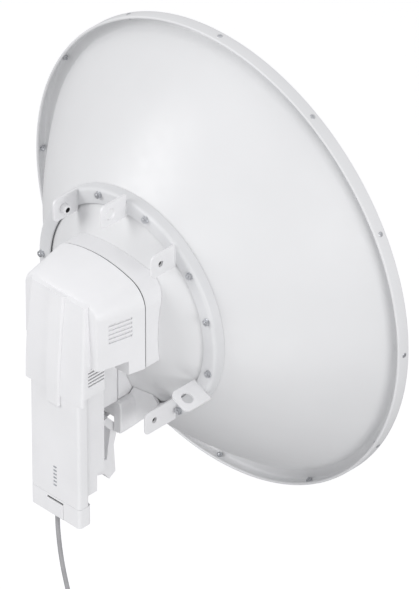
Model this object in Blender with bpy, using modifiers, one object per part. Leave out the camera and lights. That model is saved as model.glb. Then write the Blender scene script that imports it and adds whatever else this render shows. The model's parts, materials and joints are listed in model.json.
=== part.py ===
"""Outdoor wireless bridge: a parabolic dish with a mounting ring, a feed housing under a shroud, and a slim
radio that hangs on a cradle behind the dish, with one data cable.

Metres, +Z up. The boresight points along -Y, so the back of the dish, where the hardware is, faces +Y.
The origin is on the boresight axis, level with the holes of the upper mast ears.
"""

import math

import bmesh
import bpy
from mathutils import Matrix, Vector

# Gaps and sheet
GAP = 0.0003
WALL = 0.0025

# Dish
RIM_RADIUS = 0.325
RIM_REAR = -0.184
SKIRT_DEPTH = 0.0184
SHEET = 0.002
BOWL_RADIUS = 0.307
VERTEX = 0.0105
FOCAL = 0.11525
CENTRE_HOLE = 0.0225
RIM_SCREWS = 12
RIM_SCREW_Y = RIM_REAR - 0.0095

# Mounting ring
RING_INNER = 0.1375
RING_FLAT = 0.1535
RING_OUTER = 0.1585
RING_BACK = -0.0265
BOLT_CIRCLE = 0.151
BOLT_ANGLES = (1, 41, 72, 104, 139, 163, 193, 231, 309)
LUG_ANGLES = (90, 205, 323)
EAR_X = 0.087
EAR_Z = 0.117
EAR_PLATE = 0.003
EAR_HEIGHT = 0.033
UPPER_EAR_REACH = 0.015
LOWER_EAR_REACH = 0.027
EAR_HOLE_SETBACK = 0.0165

# Feed
FEED_RADIUS = 0.021
HUB_RADIUS = 0.0348
HUB_SCREW_CIRCLE = 0.0285
FLANGE_BACK = 0.0145
FEED_MOUTH = -0.085
SPLASH_RADIUS = 0.052
BLOCK_BACK = 0.048
PORT_X = 0.016
PORT_Z = 0.010
JUMPER_Y = 0.0733

# Housing and shroud
HOUSING_WIDTH = 0.081
HOUSING_TOP = 0.0964
HOUSING_BOTTOM = -0.038
SEAM = 0.0178
BODY_BACK = 0.0876
BODY_BOTTOM = -0.016
COLUMN_BOTTOM = -0.072

# Radio
RADIO_WIDTH = 0.044
RADIO_BACK = 0.1005
RADIO_SPLIT = 0.0823
RADIO_FRONT = 0.050
RADIO_TOP = -0.040
RADIO_BOTTOM = -0.265
COVER_TOP = -0.236
BASE_WIDTH = 0.038
BASE_BOTTOM = -0.226
PIVOT_Y = 0.0545
PIVOT_Z = -0.215
RAIL_BOTTOM = -0.190

# Cable
CABLE_RADIUS = 0.003
CABLE_X = 0.0045
CABLE_Y = 0.0925
CABLE_START = -0.2522
COIL_CENTRE = (0.0045, 0.0835, -0.452)
COIL_RADIUS = 0.033
COIL_ENTRY = 0.0225
COIL_LAYERS = 2
COIL_ROWS = 3

ORIENT = {
    "X": Matrix(((0, 0, 1), (1, 0, 0), (0, 1, 0))).to_4x4(),
    "Y": Matrix(((-1, 0, 0), (0, 0, 1), (0, 1, 0))).to_4x4(),
    "Z": Matrix.Identity(4),
}


def clear_scene():
    for obj in list(bpy.data.objects):
        bpy.data.objects.remove(obj, do_unlink=True)


def new_collection(name):
    collection = bpy.data.collections.new(name)
    bpy.context.scene.collection.children.link(collection)
    return collection


clear_scene()
PARTS = new_collection("outdoor_wireless_bridge")
CUTTERS = new_collection("cutters")
CUTTERS.hide_render = True


def material(name, colour, roughness, metallic=0.0):
    made = bpy.data.materials.new(name)
    made.use_nodes = True
    shader = made.node_tree.nodes["Principled BSDF"]
    shader.inputs["Base Color"].default_value = (*colour, 1.0)
    shader.inputs["Roughness"].default_value = roughness
    shader.inputs["Metallic"].default_value = metallic
    return made


WHITE_PAINT = material("white_painted_dish_sheet", (0.82, 0.82, 0.83), 0.38)
RING_PAINT = material("white_painted_steel", (0.78, 0.78, 0.79), 0.42)
WHITE_PLASTIC = material("white_plastic", (0.84, 0.84, 0.85), 0.45)
FEED_PLASTIC = material("natural_plastic", (0.72, 0.71, 0.68), 0.5)
STEEL = material("stainless_steel", (0.55, 0.55, 0.56), 0.3, 1.0)
ALUMINIUM = material("bare_aluminium", (0.66, 0.67, 0.68), 0.35, 1.0)
RUBBER = material("dark_rubber", (0.05, 0.05, 0.055), 0.8)
BOARD_GREEN = material("circuit_board", (0.05, 0.22, 0.1), 0.5)
GOLD = material("gold_plating", (0.85, 0.62, 0.25), 0.3, 1.0)
DARK_PLASTIC = material("dark_plastic", (0.06, 0.06, 0.065), 0.5)
CLEAR_PLASTIC = material("light_pipe", (0.3, 0.34, 0.36), 0.2)
CABLE_JACKET = material("grey_cable_jacket", (0.16, 0.16, 0.17), 0.55)
CLEAR_PLUG = material("plug_plastic", (0.5, 0.52, 0.54), 0.25)


def add(name, mesh, matrix=None, finish=None):
    """Links a mesh as a node of the object, or as a cutter when it has no finish."""
    obj = bpy.data.objects.new(name, mesh)
    if matrix is not None:
        obj.matrix_world = matrix
    if finish is None:
        CUTTERS.objects.link(obj)
        obj.hide_render = True
        obj.display_type = "WIRE"
    else:
        PARTS.objects.link(obj)
        mesh.materials.append(finish)
        mesh.shade_smooth()
        mesh.set_sharp_from_angle(angle=math.radians(30))
    return obj


def finished_mesh(name, bm):
    bmesh.ops.recalc_face_normals(bm, faces=bm.faces)
    mesh = bpy.data.meshes.new(name)
    bm.to_mesh(mesh)
    bm.free()
    return mesh


def evaluated_mesh(obj):
    """A mesh of what an object's modifiers or curve make of it. The object itself is removed."""
    graph = bpy.context.evaluated_depsgraph_get()
    mesh = bpy.data.meshes.new_from_object(obj.evaluated_get(graph))
    bm = bmesh.new()
    bm.from_mesh(mesh)
    bmesh.ops.remove_doubles(bm, verts=bm.verts, dist=1e-6)
    bm.to_mesh(mesh)
    bm.free()
    bpy.data.objects.remove(obj, do_unlink=True)
    return mesh


def box_mesh(name, size):
    bm = bmesh.new()
    bmesh.ops.create_cube(bm, size=1.0, matrix=Matrix.Diagonal((*size, 1.0)))
    return finished_mesh(name, bm)


def box(name, low, high, finish=None, bevel=0.0):
    """A box between two corners, with an optional small bevel round all its edges."""
    low, high = Vector(low), Vector(high)
    obj = add(name, box_mesh(name, high - low), Matrix.Translation((low + high) / 2), finish)
    if bevel:
        edge = obj.modifiers.new("edges", "BEVEL")
        edge.width = bevel
        edge.segments = 2
    return obj


def turned_mesh(name, profile, steps, loop=False):
    """A mesh turned round local Z. The profile holds (radius, height) and runs down its outer side."""
    bm = bmesh.new()
    corners = [bm.verts.new((radius, 0.0, height)) for radius, height in profile]
    for first, second in zip(corners, corners[1:]):
        bm.edges.new((first, second))
    if loop:
        bm.edges.new((corners[-1], corners[0]))
    mesh = bpy.data.meshes.new(name)
    bm.to_mesh(mesh)
    bm.free()
    obj = bpy.data.objects.new(name, mesh)
    CUTTERS.objects.link(obj)
    screw = obj.modifiers.new("turn", "SCREW")
    screw.steps = steps
    screw.render_steps = steps
    screw.use_merge_vertices = True
    screw.merge_threshold = 0.00001
    bpy.context.view_layer.update()
    return evaluated_mesh(obj)


def turned(name, profile, centre, axis, finish=None, steps=24, loop=False):
    mesh = turned_mesh(name, profile, steps, loop)
    return add(name, mesh, Matrix.Translation(centre) @ ORIENT[axis], finish)


def rod(radius, low, high):
    """The profile of a plain cylinder."""
    return [(0.0, high), (radius, high), (radius, low), (0.0, low)]


def pipe(outer, inner, low, high):
    """The profile of a plain hollow cylinder, as a loop."""
    return [(outer, high), (outer, low), (inner, low), (inner, high)]


def copies(name, mesh, matrices):
    """A cutter that holds a copy of the mesh at each matrix."""
    bm = bmesh.new()
    for matrix in matrices:
        before = len(bm.verts)
        bm.from_mesh(mesh)
        bm.verts.ensure_lookup_table()
        bmesh.ops.transform(bm, matrix=matrix, verts=bm.verts[before:])
    joined = bpy.data.meshes.new(name)
    bm.to_mesh(joined)
    bm.free()
    return add(name, joined)


def rounded(corners, radius, steps=4):
    """An outline with each corner rounded. The corners run counter-clockwise and turn left."""
    outline = []
    count = len(corners)
    for index in range(count):
        here = Vector(corners[index])
        back = (Vector(corners[index - 1]) - here).normalized()
        onward = (Vector(corners[(index + 1) % count]) - here).normalized()
        half = back.angle(onward) / 2
        setback = radius / math.tan(half)
        centre = here + (back + onward).normalized() * radius / math.sin(half)
        start = here + back * setback - centre
        sweep = math.pi - 2 * half
        for step in range(steps + 1):
            turn = Matrix.Rotation(sweep * step / steps, 2)
            outline.append(centre + turn @ start)
    return outline


def circle(centre, radius, steps=16):
    turns = [2 * math.pi * step / steps for step in range(steps)]
    return [(centre[0] + radius * math.cos(turn), centre[1] + radius * math.sin(turn)) for turn in turns]


def plate_mesh(name, outlines, thickness):
    """A flat plate in local XY, centred on it. Outlines after the first are its holes."""
    curve = bpy.data.curves.new(name, "CURVE")
    curve.dimensions = "2D"
    curve.fill_mode = "BOTH"
    curve.extrude = thickness / 2
    for outline in outlines:
        spline = curve.splines.new("POLY")
        spline.points.add(len(outline) - 1)
        for point, place in zip(spline.points, outline):
            point.co = (place[0], place[1], 0.0, 1.0)
        spline.use_cyclic_u = True
    obj = bpy.data.objects.new(name, curve)
    CUTTERS.objects.link(obj)
    bpy.context.view_layer.update()
    return evaluated_mesh(obj)


def plate(name, outlines, thickness, matrix, finish=None):
    return add(name, plate_mesh(name, outlines, thickness), matrix, finish)


def tube(name, points, radius, finish, resolution=2):
    """A round wire along the points, with filled ends."""
    curve = bpy.data.curves.new(name, "CURVE")
    curve.dimensions = "3D"
    curve.bevel_depth = radius
    curve.bevel_resolution = resolution
    curve.use_fill_caps = True
    spline = curve.splines.new("POLY")
    spline.points.add(len(points) - 1)
    for point, place in zip(spline.points, points):
        point.co = (*place, 1.0)
    curve.materials.append(finish)
    obj = bpy.data.objects.new(name, curve)
    PARTS.objects.link(obj)
    return obj


def loft(name, sections, finish=None):
    """A closed solid through sections that have the same number of points."""
    bm = bmesh.new()
    rings = [[bm.verts.new(point) for point in section] for section in sections]
    count = len(rings[0])
    for first, second in zip(rings, rings[1:]):
        for index in range(count):
            follow = (index + 1) % count
            bm.faces.new((first[index], first[follow], second[follow], second[index]))
    bm.faces.new(rings[0])
    bm.faces.new(rings[-1])
    return add(name, finished_mesh(name, bm), None, finish)


def boolean(target, tool, operation="DIFFERENCE"):
    modifier = target.modifiers.new(f"{operation.lower()}_{tool.name}", "BOOLEAN")
    modifier.operation = operation
    modifier.solver = "EXACT"
    modifier.object = tool


def group(name, centre):
    """An empty on a joint's axis, which carries a moving body's pieces."""
    empty = bpy.data.objects.new(name, None)
    empty.location = centre
    PARTS.objects.link(empty)
    return empty


def carry(empty, *pieces):
    for piece in pieces:
        piece.parent = empty
        piece.matrix_parent_inverse = Matrix.Translation(-empty.location)


def radial_frame(angle):
    """Local X along +Y, local Y outwards at an angle round the boresight, local Z across the plate."""
    outward = Vector((math.cos(math.radians(angle)), 0.0, math.sin(math.radians(angle))))
    backward = Vector((0.0, 1.0, 0.0))
    across = backward.cross(outward)
    return Matrix((backward, outward, across)).transposed().to_4x4()


def on_circle(angle, radius, y):
    turn = math.radians(angle)
    return Vector((radius * math.cos(turn), y, radius * math.sin(turn)))


# Dish ---------------------------------------------------------------------------------------------


def dish_back(radius):
    return VERTEX - radius * radius / (4 * FOCAL)


def dish_slope(radius):
    return math.atan(radius / (2 * FOCAL))


def dish_front(radius):
    return dish_back(radius) - SHEET / math.cos(dish_slope(radius))


def dish_profile():
    steps = 9
    radii = [CENTRE_HOLE + (BOWL_RADIUS - CENTRE_HOLE) * step / steps for step in range(steps + 1)]
    back = [(radius, dish_back(radius)) for radius in radii]
    floor = RIM_REAR - SKIRT_DEPTH + SHEET * 1.6
    inside = RIM_RADIUS - SHEET
    hem = RIM_RADIUS - 0.0038
    front_y = RIM_REAR - SKIRT_DEPTH
    rim = [
        (BOWL_RADIUS + 0.0035, floor),
        (inside, floor),
        (inside, RIM_REAR - 0.0050),
        (hem, RIM_REAR - 0.0046),
        (hem, RIM_REAR),
        (RIM_RADIUS - 0.0008, RIM_REAR),
        (RIM_RADIUS, RIM_REAR - 0.0008),
        (RIM_RADIUS, front_y + 0.0015),
        (RIM_RADIUS - 0.0015, front_y),
        (BOWL_RADIUS + 0.0015, front_y),
    ]
    front = []
    for radius in reversed(radii):
        lean = dish_slope(radius)
        front.append((radius - SHEET * math.sin(lean), dish_back(radius) - SHEET * math.cos(lean)))
    front[-1] = (CENTRE_HOLE, dish_front(CENTRE_HOLE))
    return back + rim + front


def axial_holes(name, places, radius, low, high, sides=12):
    """A cutter: round holes along Y at (x, z) places."""
    mesh = turned_mesh(name, rod(radius, low, high), sides)
    matrices = [Matrix.Translation((x, 0.0, z)) @ ORIENT["Y"] for x, z in places]
    return copies(name, mesh, matrices)


def axial_places(angles, radius):
    return [(on_circle(angle, radius, 0.0).x, on_circle(angle, radius, 0.0).z) for angle in angles]


HUB_SCREW_PLACES = axial_places((45, 135, 225, 315), HUB_SCREW_CIRCLE)
HOUSING_SCREW_PLACES = [(0.0735, 0.040), (-0.0735, 0.040), (0.0735, -0.026), (-0.0735, -0.026)]


def make_dish():
    dish = turned("reflector_dish", dish_profile(), (0, 0, 0), "Y", WHITE_PAINT, steps=64, loop=True)
    hole = turned_mesh("rim_hole", rod(0.0022, RIM_RADIUS - 0.008, RIM_RADIUS + 0.008), 6)
    holes = copies("rim_holes", hole, rim_screw_frames())
    boolean(dish, holes)
    bolts = axial_places(BOLT_ANGLES, BOLT_CIRCLE)
    boolean(dish, axial_holes("ring_bolt_holes", bolts, 0.0030, -0.060, -0.010, 6))
    boolean(dish, axial_holes("hub_holes", HUB_SCREW_PLACES, 0.0025, -0.020, 0.020, 6))
    boolean(dish, axial_holes("housing_holes", HOUSING_SCREW_PLACES, 0.0022, -0.020, 0.004, 6))


def rim_screw_frames():
    """Local Z outwards, level with the middle of the skirt."""
    frames = []
    for index in range(RIM_SCREWS):
        turn = Matrix.Rotation(-2 * math.pi * index / RIM_SCREWS, 4, "Y")
        frames.append(Matrix.Translation((0, RIM_SCREW_Y, 0)) @ turn @ ORIENT["X"])
    return frames


# Ring ---------------------------------------------------------------------------------------------


def make_ring():
    front = RING_BACK - WALL
    profile = [
        (RING_INNER, RING_BACK),
        (RING_FLAT, RING_BACK),
        (RING_FLAT + 0.0025, RING_BACK - 0.0010),
        (RING_FLAT + 0.0041, RING_BACK - 0.0028),
        (RING_OUTER, RING_BACK - 0.0055),
        (RING_OUTER, dish_back(RING_OUTER) + GAP + 0.0004),
        (RING_OUTER - WALL, dish_back(RING_OUTER - WALL) + GAP + 0.0004),
        (RING_OUTER - WALL, RING_BACK - 0.0062),
        (RING_FLAT + 0.0012, RING_BACK - 0.0036),
        (RING_FLAT - 0.0010, front),
        (RING_INNER, front),
    ]
    ring = turned("mounting_ring", profile, (0, 0, 0), "Y", RING_PAINT, steps=64, loop=True)
    bolts = axial_places(BOLT_ANGLES, BOLT_CIRCLE)
    boolean(ring, axial_holes("ring_holes", bolts, 0.0030, -0.036, -0.020, 6))


def make_ears():
    """Four upright plates welded behind the ring, which a mast bracket bolts to."""
    half = EAR_HEIGHT / 2
    foot = RING_BACK + GAP
    barrel = turned_mesh("clinch_nut", pipe(0.0064, 0.0035, 0.0, 0.008), 12, loop=True)
    for level, z, reach in (("upper", EAR_Z, UPPER_EAR_REACH), ("lower", -EAR_Z, LOWER_EAR_REACH)):
        for side, sign in (("left", 1), ("right", -1)):
            corners = [(foot, z - half), (reach, z - half), (reach, z + half), (foot, z + half)]
            outline = rounded(corners[1:3] + corners[3:] + corners[:1], 0.0065)
            square = [point for point in outline if point[0] > foot + 0.010]
            square += [Vector(corners[3]), Vector(corners[0])]
            hole = circle((reach - EAR_HOLE_SETBACK, z), 0.0042, 12)
            place = Matrix.Translation((sign * EAR_X, 0, 0)) @ ORIENT["X"]
            plate(f"mast_ear_{level}_{side}", [square, hole], EAR_PLATE, place, RING_PAINT)
            inner_face = sign * (EAR_X - EAR_PLATE / 2 - GAP)
            inward = ORIENT["X"] if sign < 0 else ORIENT["X"] @ Matrix.Rotation(math.pi, 4, "X")
            seat = Matrix.Translation((inner_face, reach - EAR_HOLE_SETBACK, z)) @ inward
            add(f"clinch_nut_{level}_{side}", barrel.copy(), seat, RING_PAINT)


def make_lugs():
    """Three radial plates with large eyes, welded behind the ring."""
    foot = RING_BACK + GAP
    corners = [(0.017, 0.134), (0.017, 0.167), (foot, 0.167), (foot, 0.134)]
    rear_round = [point for point in rounded(corners, 0.008) if point[0] > foot + 0.010]
    outline = rear_round + [Vector(corners[2]), Vector(corners[3])]
    eye = circle((0.001, 0.1505), 0.0082, 20)
    for name, angle in zip(("top", "right", "left"), LUG_ANGLES):
        plate(f"radial_lug_{name}", [outline, eye], EAR_PLATE, radial_frame(angle), RING_PAINT)


# Hub and feed -------------------------------------------------------------------------------------


def make_hub():
    low = dish_back(FEED_RADIUS) + 0.0012
    flange = pipe(HUB_RADIUS, FEED_RADIUS + 0.0004, low, FLANGE_BACK)
    hub = turned("hub_flange", flange, (0, 0, 0), "Y", ALUMINIUM, steps=24, loop=True)
    boolean(hub, axial_holes("flange_holes", HUB_SCREW_PLACES, 0.0025, -0.010, 0.030, 6))
    outer, inner = HUB_RADIUS - 0.001, FEED_RADIUS + 0.0022
    gasket = [
        (outer, low - GAP),
        (outer, dish_back(outer) + 0.0005),
        (inner, dish_back(inner) + 0.0004),
        (inner, low - GAP),
    ]
    pad = turned("hub_gasket", gasket, (0, 0, 0), "Y", RUBBER, steps=24, loop=True)
    boolean(pad, axial_holes("gasket_holes", HUB_SCREW_PLACES, 0.0027, -0.010, 0.030, 6))


def make_feed():
    back = FLANGE_BACK - 0.0002
    horn = pipe(FEED_RADIUS, FEED_RADIUS - 0.002, FEED_MOUTH, back)
    turned("feed_tube", horn, (0, 0, 0), "Y", ALUMINIUM, steps=24, loop=True)
    plug_radius = FEED_RADIUS - 0.002 - GAP
    dielectric = [
        (0.0, FEED_MOUTH + 0.030),
        (plug_radius, FEED_MOUTH + 0.014),
        (plug_radius, FEED_MOUTH - GAP),
        (FEED_RADIUS + 0.001, FEED_MOUTH - GAP),
        (SPLASH_RADIUS - 0.004, FEED_MOUTH - 0.0180),
        (0.0, FEED_MOUTH - 0.0110),
    ]
    turned("feed_dielectric", dielectric, (0, 0, 0), "Y", FEED_PLASTIC, steps=28)
    plate_back = FEED_MOUTH - 0.0110 - GAP
    splash = [
        (0.0, plate_back),
        (SPLASH_RADIUS - 0.004, plate_back - 0.0070 - GAP),
        (SPLASH_RADIUS, plate_back - 0.0074),
        (SPLASH_RADIUS, plate_back - 0.0100),
        (0.0, plate_back - 0.0040),
    ]
    turned("subreflector", splash, (0, 0, 0), "Y", ALUMINIUM, steps=28)
    cap_inside = SPLASH_RADIUS + 0.0012
    cap_floor = plate_back - 0.0112
    cap = [
        (0.0, cap_floor - 0.001),
        (cap_inside - 0.0005, cap_floor - 0.001),
        (cap_inside, cap_floor - 0.0005),
        (cap_inside, plate_back + 0.004),
        (cap_inside + 0.002, plate_back + 0.004),
        (cap_inside + 0.002, cap_floor - 0.001),
        (cap_inside, cap_floor - 0.003),
        (0.0, cap_floor - 0.003),
    ]
    turned("feed_cap", cap, (0, 0, 0), "Y", WHITE_PLASTIC, steps=28)
    seal = pipe(FEED_RADIUS + 0.0016, FEED_RADIUS + GAP, FEED_MOUTH + 0.003, FEED_MOUTH + 0.006)
    turned("feed_o_ring", seal, (0, 0, 0), "Y", RUBBER, steps=20, loop=True)


def make_feed_block():
    """The two-polarisation junction behind the dish, with its coax ports and jumpers."""
    low = FLANGE_BACK + GAP + 0.0034
    box("feed_block", (-0.026, low, -0.022), (0.026, BLOCK_BACK, 0.026), ALUMINIUM, bevel=0.0015)
    port = [
        (0.0, BLOCK_BACK + 0.0090),
        (0.0032, BLOCK_BACK + 0.0090),
        (0.0032, BLOCK_BACK + 0.0025),
        (0.0048, BLOCK_BACK + 0.0025),
        (0.0048, BLOCK_BACK + GAP),
        (0.0, BLOCK_BACK + GAP),
    ]
    start = BLOCK_BACK + 0.0090 + GAP
    straight = 0.003
    bend = JUMPER_Y - start - straight
    for side, x in (("left", PORT_X), ("right", -PORT_X)):
        turned(f"coax_port_{side}", port, (x, 0, PORT_Z), "Y", GOLD, steps=12)
        points = [(x, start, PORT_Z), (x, start + straight, PORT_Z)]
        for step in range(1, 9):
            turn = math.radians(90 * step / 8)
            y = start + straight + bend * math.sin(turn)
            points.append((x, y, PORT_Z - bend * (1 - math.cos(turn))))
        points.append((x, JUMPER_Y, RADIO_TOP + 0.0090 + GAP))
        tube(f"coax_jumper_{side}", points, 0.0018, DARK_PLASTIC)


# Housing and shroud -------------------------------------------------------------------------------


def arch(width, top, corner, slope, bottom, y):
    """An upright section: flat bottom, straight sides, round shoulders and a crowned top."""
    foot = 0.003
    lean = math.radians(90 - slope)
    centre_x = width - corner
    crown_x = centre_x + corner * math.cos(lean)
    curve = 1 / (math.tan(lean) * 2 * crown_x)
    centre_z = top - curve * crown_x * crown_x - corner * math.sin(lean)
    half = []
    for step in range(3):
        turn = math.radians(-90 + 45 * step)
        half.append((width - foot + foot * math.cos(turn), bottom + foot + foot * math.sin(turn)))
    for step in range(8):
        turn = lean * step / 7
        half.append((centre_x + corner * math.cos(turn), centre_z + corner * math.sin(turn)))
    for step in (3, 2, 1):
        x = crown_x * step / 4
        half.append((x, top - curve * x * x))
    mirrored = [(-x, z) for x, z in reversed(half)]
    return [(x, y, z) for x, z in half + [(0.0, top)] + mirrored]


# Each station of the shroud's body: y, half width, top, shoulder radius, roof slope at the shoulder
BODY_STATIONS = (
    (SEAM + 0.0015, HOUSING_WIDTH, HOUSING_TOP, 0.036, 18),
    (0.045, 0.0752, 0.0908, 0.031, 14),
    (0.072, 0.0690, 0.0832, 0.023, 8),
    (0.082, 0.0664, 0.0802, 0.019, 6),
    (0.0862, 0.0640, 0.0776, 0.017, 5),
    (BODY_BACK, 0.0600, 0.0738, 0.015, 4),
)


def body_solid(name, inset, front, bottom):
    """The shroud's body, or its inside when the inset is a wall's thickness."""
    sections = []
    for y, width, top, corner, slope in BODY_STATIONS:
        place = min(y, BODY_BACK - inset)
        sections.append(arch(width - inset, top - inset, corner - inset, slope, bottom + inset, place))
    sections[0] = [(x, front, z) for x, _, z in sections[0]]
    if inset:
        sections = sections[:-2]
        last = sections[-1]
        sections.append([(x, BODY_BACK - inset, z) for x, _, z in last])
    return loft(name, sections)


# Each level of the shroud's column: z, half width, y of its rear face
COLUMN_LEVELS = (
    (COLUMN_BOTTOM, 0.0525, 0.1018),
    (-0.040, 0.0525, 0.1010),
    (0.000, 0.0525, 0.0985),
    (0.0750, 0.0490, 0.0925),
)


def column_solid(name, inset, front, bottom):
    """The slim column at the back of the shroud, which the radio's top end goes up into."""
    sections = []
    for z, width, back in COLUMN_LEVELS:
        side = width - inset
        rear = back - inset
        corners = [(-side, front), (side, front), (side, rear), (-side, rear)]
        outline = rounded(corners, 0.0045 - inset / 2, steps=3)
        level = bottom if z == COLUMN_BOTTOM else z
        sections.append([(x, y, level) for x, y in outline])
    roof = [(x, y, 0.0750 - inset + (0.0925 - y) * 0.20) for x, y, _ in sections[-1]]
    sections[-1] = roof
    return loft(name, sections)


def spine_solid():
    """The raised spine down the column's rear face, which ends in a tongue over the radio."""
    levels = (
        (-0.0890, 0.0108, 0.1010, 0.1036),
        (-0.0870, 0.0115, 0.1010, 0.1050),
        (-0.040, 0.0118, 0.0995, 0.1042),
        (0.000, 0.0122, 0.0960, 0.1016),
        (0.0762, 0.0128, 0.0905, 0.0953),
    )
    sections = []
    for z, width, front, rear in levels:
        ridge = width - 0.0022
        outline = [(-width, front), (width, front), (width, rear - 0.0026), (ridge, rear), (-ridge, rear)]
        outline.append((-width, rear - 0.0026))
        sections.append([(x, y, z) for x, y in outline])
    return loft("spine_solid", sections)


def slots(name, low, high, count, pitch):
    """A cutter: equal boxes, the first between two corners and each next one a pitch lower."""
    low, high = Vector(low), Vector(high)
    mesh = box_mesh(name, high - low)
    middle = (low + high) / 2
    return copies(name, mesh, [Matrix.Translation(middle - Vector((0, 0, pitch * k))) for k in range(count)])


def make_shroud():
    shroud = body_solid("shroud_cover", 0.0, SEAM + 0.0015, HOUSING_BOTTOM)
    CUTTERS.objects.unlink(shroud)
    PARTS.objects.link(shroud)
    shroud.hide_render = False
    shroud.display_type = "TEXTURED"
    shroud.data.materials.append(WHITE_PLASTIC)
    step_front = 0.043
    boolean(shroud, box("rear_underside", (-0.1, step_front, -0.1), (0.1, 0.12, BODY_BOTTOM)))
    boolean(shroud, column_solid("column_outside", 0.0, 0.0590, COLUMN_BOTTOM), "UNION")
    boolean(shroud, spine_solid(), "UNION")
    inside = body_solid("body_inside", WALL, SEAM - 0.010, HOUSING_BOTTOM)
    boolean(inside, box("step_inside", (-0.1, step_front - WALL, -0.1), (0.1, 0.12, BODY_BOTTOM + WALL)))
    boolean(shroud, inside)
    boolean(shroud, column_solid("column_inside", WALL, 0.0500, COLUMN_BOTTOM - 0.020))
    opening_top = BODY_BOTTOM + WALL + 0.002
    boolean(shroud, box("middle_opening", (-0.0497, SEAM - 0.01, -0.060), (0.0497, 0.0700, opening_top)))
    boolean(shroud, box("side_skirt_cut", (-0.06, 0.050, -0.100), (0.06, 0.0985, -0.0605)))
    boolean(shroud, slots("louvre_slots", (-0.1, 0.0375, 0.0468), (0.1, 0.0715, 0.0500), 5, 0.0064))
    boolean(shroud, slots("lower_vents", (-0.1, 0.0635, -0.0241), (0.1, 0.0915, -0.0219), 5, 0.0050))
    return shroud


def make_housing_base():
    """The collar between the dish and the shroud, with screw bosses inside."""

    def outline(inset, y):
        _, width, top, corner, slope = BODY_STATIONS[0]
        return arch(width - inset, top - inset, corner - inset, slope, HOUSING_BOTTOM + inset, y)

    base = loft("feed_housing_base", [outline(0.0004, -0.040), outline(0.0004, SEAM - GAP)], WHITE_PLASTIC)
    boolean(base, loft("base_inside", [outline(WALL, -0.050), outline(WALL, 0.040)]))
    bosses = [Matrix.Translation((x, 0, z)) @ ORIENT["Y"] for x, z in HOUSING_SCREW_PLACES]
    boolean(base, copies("bosses", turned_mesh("boss", rod(0.0062, -0.040, 0.0140), 12), bosses), "UNION")
    boolean(base, axial_holes("boss_holes", HOUSING_SCREW_PLACES, 0.0020, -0.050, 0.0085, 6))
    boolean(base, dish_clearance())
    seal_front, seal_back = SEAM, SEAM + 0.0012
    seal = loft("housing_seal", [outline(0.0010, seal_front), outline(0.0010, seal_back)], RUBBER)
    opening = [outline(0.0022, seal_front - 0.01), outline(0.0022, seal_back + 0.01)]
    boolean(seal, loft("seal_inside", opening))


def dish_clearance(name="dish_clearance"):
    """A cutter: everything in front of the dish's back surface, and a little more."""
    steps = 16
    radii = [0.200 * step / steps for step in range(steps + 1)]
    profile = [(radius, dish_back(radius) + 0.0005) for radius in radii] + [(0.200, -0.150), (0.0, -0.150)]
    return turned(name, profile, (0, 0, 0), "Y", steps=48)


# Cradle, foot and lever ---------------------------------------------------------------------------


def make_cradle():
    """The upright casting that the radio slides up onto. Its T rail runs in the radio's groove."""
    top = HOUSING_BOTTOM - 0.0012
    cradle = box("radio_cradle", (-0.020, 0.0340, RAIL_BOTTOM), (0.020, 0.0465, top - 0.010), WHITE_PLASTIC)
    solids = (
        box("rail_neck", (-0.0060, 0.0440, RAIL_BOTTOM), (0.0060, 0.0540, -0.062)),
        box("rail_head", (-0.0100, 0.0525, RAIL_BOTTOM + 0.0005), (0.0100, 0.0585, -0.0615)),
        box("rear_web", (-0.0205, 0.0100, -0.1215), (0.0205, 0.0350, top)),
        box("front_web", (-0.0190, -0.020, -0.1215), (0.0190, 0.0060, top - 0.0005)),
        box("middle_web", (-0.0150, 0.0040, -0.1210), (0.0150, 0.0120, top - 0.0010)),
    )
    for solid in solids:
        boolean(cradle, solid, "UNION")
    boolean(cradle, box("rear_web_hollow", (-0.0165, 0.0125, -0.1600), (0.0165, 0.0310, top - 0.0045)))
    boolean(cradle, dish_clearance("cradle_clearance"))


def make_foot():
    """The block under the cradle. It flares into a flange that hooks over the bottom of the ring."""
    block = [(0.0190, -0.1230), (0.0245, -0.1246), (0.0270, -0.1300)]
    block += [(0.0270, -0.1665), (0.0245, -0.1719), (0.0190, -0.1735)]
    flange = [(0.0315, -0.1051), (0.0460, -0.1085), (0.0601, -0.1218)]
    flange += [(0.0560, -0.1370), (0.0430, -0.1490), (0.0315, -0.1560)]

    def section(y, flare, inset=0.0):
        half = []
        for (block_x, block_z), (flange_x, flange_z) in zip(block, flange):
            x = block_x + flare * (flange_x - block_x) - inset
            z = block_z + flare * (flange_z - block_z)
            half.append((x, z + (inset if z < -0.1445 else -inset)))
        return [(x, y, z) for x, z in half] + [(-x, y, z) for x, z in reversed(half)]

    stations = [(0.0095, 0.0, 0.0015), (0.0080, 0.0, 0.0), (-0.0040, 0.02, 0.0), (-0.0120, 0.15, 0.0)]
    stations += [(-0.0180, 0.45, 0.0), (-0.0222, 1.0, 0.0), (RING_BACK + GAP, 1.0, 0.0)]
    foot = loft("cradle_foot", [section(*station) for station in stations], WHITE_PLASTIC)
    boolean(foot, box("ring_hook", (-0.0270, -0.0480, -0.1500), (0.0270, -0.0200, -0.1230)), "UNION")
    boolean(foot, box("neck_seat", (-0.0209, -0.050, -0.1219), (0.0209, 0.030, -0.070)))
    boolean(foot, box("lever_pocket", (-0.0140, -0.0150, -0.200), (0.0140, 0.020, -0.1500)))
    boolean(foot, dish_clearance("foot_clearance"))
    clearance = [(0.1650, RING_BACK + GAP), (0.1650, -0.080), (0.1360, -0.080), (0.1360, RING_BACK + GAP)]
    boolean(foot, turned("ring_clearance", clearance, (0, 0, 0), "Y", steps=64, loop=True))


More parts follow.
